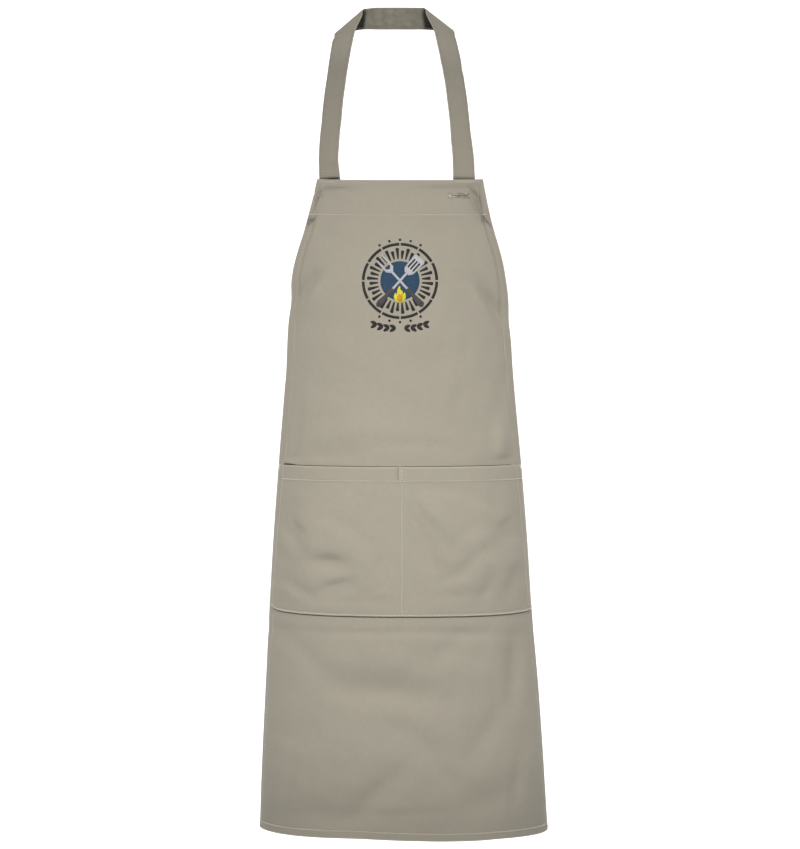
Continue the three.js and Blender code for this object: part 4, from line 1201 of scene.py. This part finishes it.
def knot_core():
    """The two ties pulled through each other: a lump with deep creases."""
    nu, nv = 56, 34
    co = []
    for i in range(1, nv):
        v = math.pi * i / nv
        for j in range(nu):
            g = 2 * math.pi * j / nu
            cx, cy, cz = math.sin(v) * math.cos(g), math.sin(v) * math.sin(g), math.cos(v)
            q = lambda c, p: math.copysign(abs(c) ** p, c)
            x, y, z = q(cx, 0.8) * 16.0, q(cy, 0.85) * 5.6, q(cz, 0.8) * 11.5
            crease = 0.8 * math.sin(0.55 * x + 0.75 * z + 1.2 * math.sin(z / 4)) + 0.4 * math.sin(1.3 * x - 0.5 * z)
            k = 1 + 0.055 * crease
            co.append((kx + x * k, ky + y * k, kz + z * k))
    co += [(kx, ky, kz + 11.3), (kx, ky, kz - 11.3)]
    faces = []
    at = lambda i, j: i * nu + j % nu
    for i in range(nv - 2):
        for j in range(nu):
            faces.append((at(i, j), at(i + 1, j), at(i + 1, j + 1), at(i, j + 1)))
    top, low = len(co) - 2, len(co) - 1
    for j in range(nu):
        faces.append((top, at(0, j), at(0, j + 1), at(0, j + 1)))
        faces.append((low, at(nv - 2, j + 1), at(nv - 2, j), at(nv - 2, j)))
    co = np.array(co)
    f = np.array(faces)
    if not outward_faces(co, f):
        f = f[:, ::-1]
    clean = [list(dict.fromkeys(r)) for r in f.tolist()]
    uv = np.stack([co[:, 0], co[:, 2] + co[:, 1]], -1) * 0.001
    far = np.full(len(co), 9.0)
    ob = mesh("waist_knot_core", co, clean, uv, {"edge": far, "seam": far, "shade": far * 0 + 0.06, "under": far - 30})
    ob.data.materials.append(TWILL_STRAP)
    return ob


knot = knot_core()
knot_over = tube_band("waist_knot_over", ring(4, 6.6, 12.6, math.radians(24), lean=0.7), 15.0, 3.0, folds=3)
knot_left = tube_band("waist_knot_left", ring(3, 5.6, 10.2, math.radians(-16), dx=-9.0, lean=0.5), 9.0, 2.6, folds=2)
knot_right = tube_band("waist_knot_right", ring(3, 5.4, 10.0, math.radians(-14), dx=9.5, lean=0.5), 9.0, 2.6, folds=2)


# ------------------------------------------------- the print: a plain grill badge
PRINT = (8.0, -363.0)


def shape_fill(outline, pitch=3.2):
    """Triangles that fill a closed outline, with points inside so that it can follow the cloth."""
    pts = np.asarray(outline, float)
    # points along the outline, close enough to bend with the cloth
    dense = []
    for k in range(len(pts)):
        a, b = pts[k], pts[(k + 1) % len(pts)]
        n = max(1, int(np.ceil(np.linalg.norm(b - a) / pitch)))
        dense += [a + (b - a) * j / n for j in range(n)]
    pts = np.array(dense)
    x0, z0 = pts.min(0)
    x1, z1 = pts.max(0)
    gx, gz = np.meshgrid(np.arange(x0 + pitch / 2, x1, pitch), np.arange(z0 + pitch / 2, z1, pitch))
    grid = np.stack([gx.ravel(), gz.ravel()], -1)
    nx = np.roll(pts, -1, 0)
    inside = np.zeros(len(grid), bool)
    for a, b in zip(pts, nx):
        hit = ((a[1] > grid[:, 1]) != (b[1] > grid[:, 1]))
        with np.errstate(divide="ignore", invalid="ignore"):
            xs = (b[0] - a[0]) * (grid[:, 1] - a[1]) / (b[1] - a[1]) + a[0]
        inside ^= hit & (grid[:, 0] < xs)
    near = np.min(np.linalg.norm(grid[:, None] - pts[None], axis=2), axis=1) if len(grid) else np.zeros(0)
    grid = grid[inside & (near > pitch * 0.45)] if len(grid) else grid
    verts = [Vector(p) for p in np.concatenate([pts, grid]).tolist()]
    n = len(pts)
    edges = [(k, (k + 1) % n) for k in range(n)]
    out = delaunay_2d_cdt(verts, edges, [list(range(n))], 1, 1e-6)
    return np.array([tuple(v) for v in out[0]]), [list(f) for f in out[2]]


def ink_layer(name, shapes, material, layer):
    """Thin closed pieces of ink on the cloth, one mesh for a colour."""
    co, faces = [], []
    base = 0
    for outline in shapes:
        v, f = shape_fill(np.asarray(outline) + np.array(PRINT))
        t = t_for(v[:, 0], v[:, 1])
        up = 0.06 + 0.05 * layer
        hi = surface(t, v[:, 1], np.full(len(v), up + 0.045))
        lo = surface(t, v[:, 1], np.full(len(v), up))
        n = len(v)
        area = sum(float(np.cross(v[g[1]] - v[g[0]], v[g[2]] - v[g[0]])) for g in f)
        tri = f if area > 0 else [g[::-1] for g in f]
        count = {}
        for g in tri:
            for k in range(len(g)):
                e = (g[k], g[(k + 1) % len(g)])
                count[e] = count.get(e, 0) + 1
        faces += [[base + k for k in g] for g in tri]
        faces += [[base + n + k for k in g[::-1]] for g in tri]
        for a, b in count:
            if (b, a) not in count:
                faces.append([base + b, base + a, base + n + a, base + n + b])
        co += [hi, lo]
        base += 2 * n
    co = np.concatenate(co)
    ob = mesh(name, co, faces)
    ob.data.materials.append(material)
    return ob


def circle(cx, cz, r, n=40, squash=1.0):
    return [(cx + r * math.cos(2 * math.pi * k / n), cz + r * squash * math.sin(2 * math.pi * k / n)) for k in range(n)]


def band(r0, r1, a0, a1, n=26):
    """Part of a ring, between two angles in degrees."""
    g = np.radians(np.linspace(a0, a1, n))
    return [(r1 * math.cos(k), r1 * math.sin(k)) for k in g] + [(r0 * math.cos(k), r0 * math.sin(k)) for k in g[::-1]]


def turned(points, angle, dx=0.0, dz=0.0):
    c, s = math.cos(math.radians(angle)), math.sin(math.radians(angle))
    return [(x * c - z * s + dx, x * s + z * c + dz) for x, z in points]


def smooth(points, n=6):
    """A closed round curve through points."""
    P = np.asarray(points, float)
    m = len(P)
    ext = np.concatenate([P[-1:], P, P[:2]])
    out = []
    for k in range(m):
        a, b, c, d = ext[k], ext[k + 1], ext[k + 2], ext[k + 3]
        for j in range(n):
            w = j / n
            out.append(0.5 * (2 * b + (c - a) * w + (2 * a - 5 * b + 4 * c - d) * w ** 2
                              + (3 * b - a - 3 * c + d) * w ** 3))
    return [tuple(p) for p in out]


def grill_print():
    rays = []
    for k in range(36):
        a = 360 * k / 36 + 5
        g = math.radians(a)
        long = 42.5 if k % 2 else 39.0
        w0, w1 = 0.9, 2.3
        p = [(28.5, -w0), (long, -w1), (long + 0.9, 0), (long, w1), (28.5, w0)]
        rays.append(turned(p, a))
    rims = [band(46.0, 49.6, a + 1.2, a + 28.8) for a in range(0, 360, 30)]
    dots = [circle(53.6 * math.cos(math.radians(a)), 53.6 * math.sin(math.radians(a)), 1.7, 16)
            for a in (60, 75, 90, 105, 120, 240, 255, 270, 285, 300)]
    disc = [circle(0, 0, 25.5, 64)]
    # tools: a slotted turner and a two-pronged fork, crossed
    turner_blade = [(-7.2, 17), (-8.6, 37.5), (-6.8, 40), (6.8, 40), (8.6, 37.5), (7.2, 17), (3.2, 12.5), (-3.2, 12.5)]
    slots = [[(x - 1.1, 20), (x - 1.1, 34), (x + 1.1, 34), (x + 1.1, 20)] for x in (-4.2, 0.0, 4.2)]
    shaft = [(-1.5, -14), (-1.5, 14), (1.5, 14), (1.5, -14)]
    grip = smooth([(-3.0, -14), (-2.6, -26), (-3.9, -38), (-2.2, -44), (2.2, -44), (3.9, -38), (2.6, -26), (3.0, -14), (0, -12.6)], 4)
    hang = [circle(0, -40, 1.3, 14)]
    fork_head = [(-1.5, 10), (-1.6, 15), (-6.2, 20), (-6.2, 38), (-5.0, 42.5), (-3.8, 38), (-3.6, 23), (-0.8, 20.5),
                 (0.8, 20.5), (3.6, 23), (3.8, 38), (5.0, 42.5), (6.2, 38), (6.2, 20), (1.6, 15), (1.5, 10)]
    A, B = -42, 42
    pale = [turned(turner_blade, A), turned(shaft, A), turned(fork_head, B), turned(shaft, B)]
    grips = [turned(grip, A), turned(grip, B)]
    cuts = [turned(s, A) for s in slots]
    flame = smooth([(0, -28.5), (-5.4, -26.4), (-8.0, -21.2), (-6.4, -15.6), (-4.6, -17.6), (-3.4, -11.6), (-0.2, -6.4),
                    (0.8, -11.2), (3.6, -14.4), (4.4, -17.2), (6.0, -15.0), (7.8, -20.6), (5.6, -26.2)], 5)
    inner = smooth([(0, -27.2), (-3.0, -25.2), (-3.6, -21.6), (-1.2, -17.0), (0.6, -18.6), (2.6, -16.6), (3.6, -21.8), (2.8, -25.4)], 5)
    # a short garland of leaves under the badge
    leaf = smooth([(0, 0), (2.2, 2.1), (6.0, 2.3), (9.2, 0), (6.0, -1.9), (2.2, -1.7)], 4)
    leaves = []
    for side in (-1, 1):
        for k in range(4):
            x, z = side * (5.5 + 8.2 * k), -61.5 + 0.55 * k * k
            for lean in (26, -30):
                pts = turned(leaf, lean)
                leaves.append([(x + side * px, z + pz) for px, pz in pts])
    made = [
        ink_layer("print_rays", rays + rims + dots, ink("ink_black", (0.016, 0.014, 0.014)), 0),
        ink_layer("print_disc", disc, ink("ink_navy", (0.012, 0.050, 0.105)), 0),
        ink_layer("print_leaves", leaves, ink("ink_leaf", (0.018, 0.016, 0.016)), 0),
        ink_layer("print_grips", grips, ink("ink_grey", (0.066, 0.058, 0.064)), 1),
        ink_layer("print_tools", pale, ink("ink_pale", (0.50, 0.50, 0.52), 0.7), 2),
        ink_layer("print_slots", cuts + [turned(hang[0], A), turned(hang[0], B)], ink("ink_slot", (0.020, 0.022, 0.028)), 3),
        ink_layer("print_flame", [flame], ink("ink_yellow", (0.72, 0.66, 0.030)), 3),
        ink_layer("print_flame_heart", [inner], ink("ink_ember", (0.60, 0.30, 0.030)), 4),
    ]
    return made


print_pieces = grill_print()


# -------------------------------------------------------------------- sewing
def side_line(side, z0, z1, extra=0.0):
    z = np.linspace(z0, z1, max(20, int(abs(z1 - z0) / 1.5)))
    s = hem_width(z) + extra
    full = np.array([np.interp(v, ARC_Z, ARC[:, -1]) for v in z])
    s = s if side < 0 else full - s
    return arc_t(s[:, None], z)[:, 0], z


def across_line(offset, s0=1.5, s1=1.5, from_top=True):
    """A line at a distance below the top edge, or above the bottom edge."""
    z0 = TOP - offset if from_top else BOTTOM + offset
    full = float(np.interp(z0, ARC_Z, ARC[:, -1]))
    s = np.linspace(s0, full - s1, int(full / 1.5))
    t = arc_t(s[None, :], np.array([z0]))[0]
    z = top_edge(t) - offset if from_top else bottom_edge(plain(t, np.full_like(t, z0))[..., 0]) + offset
    return t, z


front_runs, back_runs = [], []
for side in (-1, 1):
    t, z = side_line(side, -234.5, POCKET_TOP + 1.5)
    front_runs.append(run_along(*line_on(t, z), radius=0.38))
    t, z = side_line(side, POCKET_BOTTOM - 4, BOTTOM + 2)
    front_runs.append(run_along(*line_on(t, z), radius=0.42))
    t, z = side_line(side, -234.5, BOTTOM + 2)
    back_runs.append(run_along(surface(t, z, -1.78), -outward(t, z)))
for off, top in ((BAND_DEEP, True), (2.2, True), (9.1, False)):
    t, z = across_line(off, from_top=top)
    close = {BAND_DEEP: dict(pitch=3.5, length=1.75, radius=0.68, lift=0.26), 2.2: dict(pitch=3.3, length=1.7, radius=0.42),
             9.1: dict(pitch=3.7, length=1.85, radius=0.74, lift=0.26)}[off]
    front_runs.append(run_along(*line_on(t, z), **close))
    if off == 9.1:
        back_runs.append(run_along(surface(t, z, -1.78), -outward(t, z)))
    if off == BAND_DEEP:
        keep = (np.abs(t) < 0.9)
        back_runs.append(run_along(surface(t[keep], z[keep], -2.15), -outward(t[keep], z[keep])))
sew_body = stitches("panel_stitches", front_runs, THREAD)
sew_back = stitches("panel_back_stitches", back_runs, THREAD)
panel_hole_shade = stitches("panel_needle_hole_shade", [hole_shade_of(r) for r in front_runs + back_runs], NEEDLE_SHADE)

pocket_runs = []
tt = np.linspace(-0.972, 0.972, 330)
pt, pl = pocket_edges(tt)
for z, first in ((pt - 18.4, 14), (pl + 0.95, 0)):
    pocket_runs.append(run_along(pocket_surface(tt, z)[first:], outward(tt, z)[first:], pitch=3.7, length=1.85, radius=0.78, lift=0.28))
for side in (-1, 1):
    t, z = side_line(side, POCKET_TOP - 1.0, POCKET_BOTTOM + 7)
    pocket_runs.append(run_along(pocket_surface(t, z), outward(t, z)))
zc = np.linspace(POCKET_TOP - 2.5, POCKET_BOTTOM + 3, 140)
tc = t_for(np.full_like(zc, 10.4), zc)
pocket_runs.append(run_along(pocket_surface(tc, zc), outward(tc, zc)))
# small bar tacks at the two ends of the mouth
for tx, dz in ((-0.955, 0), (0.955, 0)):
    z = np.linspace(POCKET_TOP + 0.8, POCKET_TOP - 7, 12)
    t = np.full_like(z, tx)
    for k in range(3):
        pocket_runs.append(run_along(pocket_surface(t + 0.0035 * (k - 1), z), outward(t, z), pitch=1.9, length=1.9))
sew_pocket = stitches("pocket_stitches", pocket_runs, THREAD)
pocket_hole_shade = stitches("pocket_needle_hole_shade", [hole_shade_of(r, 0.48 if k < 2 else 0.40) for k, r in enumerate(pocket_runs[:5])], NEEDLE_SHADE)


def ribbon_line(rb, w_mm, s0, s1, face, thick, seam_deep=0.20, lift=0.05, detail=None, **more):
    W = float(np.median(rb.wide))
    s = np.linspace(s0, s1, max(12, int((s1 - s0) / 1.2)))
    w = w_mm / W if w_mm >= 0 else 1 + w_mm / W
    d = face * (thick / 2 - seam_deep - 0.06)
    base = (detail(s, np.full_like(s, w), W) if detail else 0) + 0.10 * fine(s * 1.4, w * 40) * ease(abs(w_mm) / 6)
    p, n, _, _ = rb.at(s, np.full_like(s, w), base + d)
    return run_along(p, n * face, lift=lift, **more)


strap_runs = []
L = strap_rb.length
for face in (1, -1):
    for w in (2.3, -2.3):
        strap_runs.append(ribbon_line(strap_rb, w, 3, L - 3, face, STRAP_T, detail=strap_detail))


def foot_row(side, z):
    """A short row across the strap, just above the bib's edge."""
    zz = (strap_rb.a[:, 2] + strap_rb.b[:, 2]) / 2
    half = np.arange(len(zz))
    pick = half < len(zz) // 2 if side < 0 else half >= len(zz) // 2
    order = np.where(pick)[0]
    k = order[np.argmin(np.abs(zz[order] - z))]
    w = np.linspace(0.08, 0.92, 30)
    p, n, _, _ = strap_rb.at(np.full(30, strap_rb.s[k]), w, np.full(30, STRAP_T / 2))
    return run_along(p, n, pitch=2.5, length=1.5, radius=0.55, wobble=0.35)


sew_strap = stitches("neck_strap_stitches", strap_runs, THREAD_STRAP)
strap_hole_shade = stitches("neck_strap_needle_hole_shade", [hole_shade_of(r, 0.46) for r in strap_runs]
                       + [foot_row(-1, -228.6), foot_row(1, -228.6)], NEEDLE_SHADE)

# one row of the stitching that fixes each strap's foot to the bib
foot_runs = []
for lo, hi in ((FOOT["lo"] + 2.5, FOOT["li"] - 1.5), (FOOT["ri"] + 1.5, FOOT["ro"] - 2.5)):
    x = np.linspace(lo, hi, 24)
    for dz in (3.3,):
        t = t_for(x, np.full_like(x, -236.0))
        z = top_edge(t) - dz
        foot_runs.append(run_along(*line_on(t, z), pitch=2.9, length=1.5, radius=0.42, wobble=0.3))
sew_feet = stitches("strap_foot_stitches", foot_runs, THREAD)

tie_runs, tail_runs = {-1: [], 1: []}, {-1: [], 1: []}
for side in (-1, 1):
    rb = tie_rb[side]
    for face in (1, -1):
        for w in (2.1, -2.1):
            tie_runs[side].append(ribbon_line(rb, w, 3, rb.length - 38, face, TIE_T))
    rb = tail_rb[side]
    for face in (1, -1):
        for w in (2.1, -2.1):
            tail_runs[side].append(ribbon_line(
                rb, w, 42, rb.length - 2, face, TIE_T,
                detail=lambda S, Wd, wd, k=side: ease((40 - S) / 40) * np.sin(Wd * 2 * math.pi * 1.5 + k)
                + 0.9 * np.sin(S / 33 + k) * (Wd - 0.5) + 0.35 * np.sin(S / 21 + 2 * k)))
sew_ties = {s: stitches(f"waist_tie_{n}_stitches", tie_runs[s], THREAD) for s, n in ((-1, "left"), (1, "right"))}
sew_tails = {s: stitches(f"tie_tail_{n}_stitches", tail_runs[s], THREAD) for s, n in ((-1, "left"), (1, "right"))}


def buttonhole_runs():
    """Close satin passes on both lips of the slit and a bar at its left end."""
    runs = []
    x = hole_mid[:, 0]
    n0 = 46
    xs = np.linspace(x[0] - 0.3, x[-1] + 0.3, n0)
    gape = np.interp(xs, x, open_mm)
    for side in (-1, 1):
        z = np.interp(xs, x, hole_mid[:, 2]) + side * (gape / 2 + 0.75)
        z = z + rng.normal(0, 0.32, n0)
        t = t_for(xs, z)
        n = outward(t, z)
        p = surface(t, z, 0.10)
        up = unit(np.cross(n, np.cross([0, 0, 1.0], n)))
        up = unit(up + np.array([1.0, 0, 0]) * rng.normal(0, 0.10, (n0, 1)))
        keep = rng.uniform(0, 1, n0) < np.where(xs < x[0] + 9, 0.85, 0.50)
        wide = rng.uniform(0.22, 0.36, n0)
        runs.append((p[keep], up[keep], n[keep], (1.6 * rng.uniform(0.6, 1.25, n0))[keep], wide[keep]))
    for xe in (x[0] - 0.9,):
        xb = xe + np.array([-0.6, -0.2, 0.2, 0.6])
        z = np.full(4, float(np.interp(xe, x, hole_mid[:, 2])))
        t = t_for(xb, z)
        n = outward(t, z)
        up = unit(np.cross(n, np.cross([0, 0, 1.0], n)))
        runs.append((surface(t, z, 0.16), up, n, np.full(4, 4.6), np.full(4, 0.32)))
    return runs


sew_hole = stitches("buttonhole_stitches", buttonhole_runs(), THREAD_SATIN)


def buttonhole_shade_pieces():
    """Dark pieces round the slit: painted shade in the needle holes and between the satin passes."""
    x = hole_mid[:, 0]
    xs = np.concatenate([np.arange(x[0] - 2.0, x[-1] + 2.0, 2.1)] * 2)
    xs = xs + rng.normal(0, 0.35, len(xs))
    half = len(xs) // 2
    z = np.interp(xs, x, hole_mid[:, 2]) + np.where(np.arange(len(xs)) < half, 2.3, -2.3)
    z = z + rng.normal(0, 0.6, len(xs))
    t = t_for(xs, z)
    n = outward(t, z)
    along = unit(np.cross(np.cross(n, [0.25, 0, 1.0]), n))
    return [(surface(t, z, 0.08), along, n, rng.uniform(1.4, 2.8, len(xs)), rng.uniform(0.40, 0.66, len(xs)))]


slit_hole_shade = stitches("buttonhole_needle_hole_shade", buttonhole_shade_pieces(), NEEDLE_SHADE)

# --------------------------------------------------------- riding, and hiding the CAD parts
pairs = [
    (body, "apron_body", "twill"), (facing, "bib_facing", "twill"), (pocket, "pocket", "twill"),
    (strap, "neck_strap", "twill_strap"), (ties[-1], "waist_tie_left", "twill_strap"),
    (ties[1], "waist_tie_right", "twill_strap"), (knot, "tie_knot", "twill_strap"),
    (tails[-1], "tie_tail_left", "twill_strap"), (tails[1], "tie_tail_right", "twill_strap"),
]
for ob, node, slot in pairs:
    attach(ob, "root")
    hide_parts(node)
for ob in (knot_over, knot_left, knot_right):
    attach(ob, "root")
extras = [sew_body, sew_back, sew_pocket, sew_strap, sew_feet, sew_hole, slit_hole_shade, panel_hole_shade, pocket_hole_shade, strap_hole_shade] + print_pieces \
    + [sew_ties[-1], sew_ties[1], sew_tails[-1], sew_tails[1]]
for ob in extras:
    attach(ob, "root")


# ------------------------------------------------------ floor, light and camera
def stage():
    """One plain pale sheet: a floor that turns up into a wall far behind."""
    prof = [(-7.0, -1.5), (-3.0, -1.5), (0.0, -1.5), (2.0, -1.5), (4.2, -1.5)]
    for k in range(1, 13):
        g = math.pi / 2 * k / 12
        prof.append((4.2 + 1.6 * math.sin(g), -1.5 + 1.6 * (1 - math.cos(g))))
    prof.append((5.8, 5.5))
    xs = [-7.0, -3.5, 0.0, 3.5, 7.0]
    co = [(x * 1000, y * 1000, z * 1000) for y, z in prof for x in xs]
    n = len(xs)
    faces = [(i * n + j, i * n + j + 1, (i + 1) * n + j + 1, (i + 1) * n + j)
             for i in range(len(prof) - 1) for j in range(n - 1)]
    ob = mesh("studio_floor", co, faces)
    m = Nodes("studio_paper")
    v = m.coords("Object", (1, 1, 1))
    grain = m.noise(m.coords("Object", (260, 260, 260)), 2.0, 0.5)
    colour = m.mix(grain, (0.80, 0.80, 0.80), (0.84, 0.84, 0.835))
    m.link(colour, m.bsdf.inputs["Base Color"])
    sep = m.new("ShaderNodeSeparateXYZ")
    m.link(v, sep.inputs[0])
    glow = m.span(sep.outputs[1], 0.7, 1.7, 0.0, BACK_GLOW)
    m.bsdf.inputs["Emission Color"].default_value = (1, 1, 1, 1)
    m.link(glow, m.bsdf.inputs["Emission Strength"])
    m.surface(0.9, specular=0.1)
    ob.data.materials.append(m.mat)
    ob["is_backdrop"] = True
    return ob


stage()


def softbox(name, place, aim, size, power, colour=(1, 1, 1), beam=180):
    data = bpy.data.lights.new(name, "AREA")
    data.shape = "RECTANGLE"
    data.size, data.size_y = size
    data.energy = power
    data.spread = math.radians(beam)
    data.color = colour
    ob = bpy.data.objects.new(name, data)
    ob.location = place
    ob.rotation_euler = (Vector(aim) - Vector(place)).to_track_quat("-Z", "Y").to_euler()
    bpy.context.scene.collection.objects.link(ob)
    return ob


for args in SOFTBOXES:
    softbox(*args)

world = bpy.data.worlds.new("studio")
bpy.context.scene.world = world
world.use_nodes = True
world.node_tree.nodes["Background"].inputs["Color"].default_value = (*WORLD_COLOUR, 1)
world.node_tree.nodes["Background"].inputs["Strength"].default_value = WORLD_LEVEL
bpy.context.scene.view_settings.view_transform = "Standard"

cam = bpy.data.cameras.new("camera")
cam.sensor_fit = "AUTO"
cam.sensor_width = 36.0
cam.lens = 97.853
cam.clip_start, cam.clip_end = 0.1, 60
camera = bpy.data.objects.new("camera", cam)
camera.location = (0.008, -3.175, -0.448966)
camera.rotation_euler = (math.radians(90 - 1.92346), 0, 0)
bpy.context.scene.collection.objects.link(camera)
bpy.context.scene.camera = camera

# ------------------------------------------------------------------------- end
plainly = lambda box: [[float(c) for c in p] for p in box]
{"cad": plainly(CAD_BOX), "visual": plainly(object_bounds())}
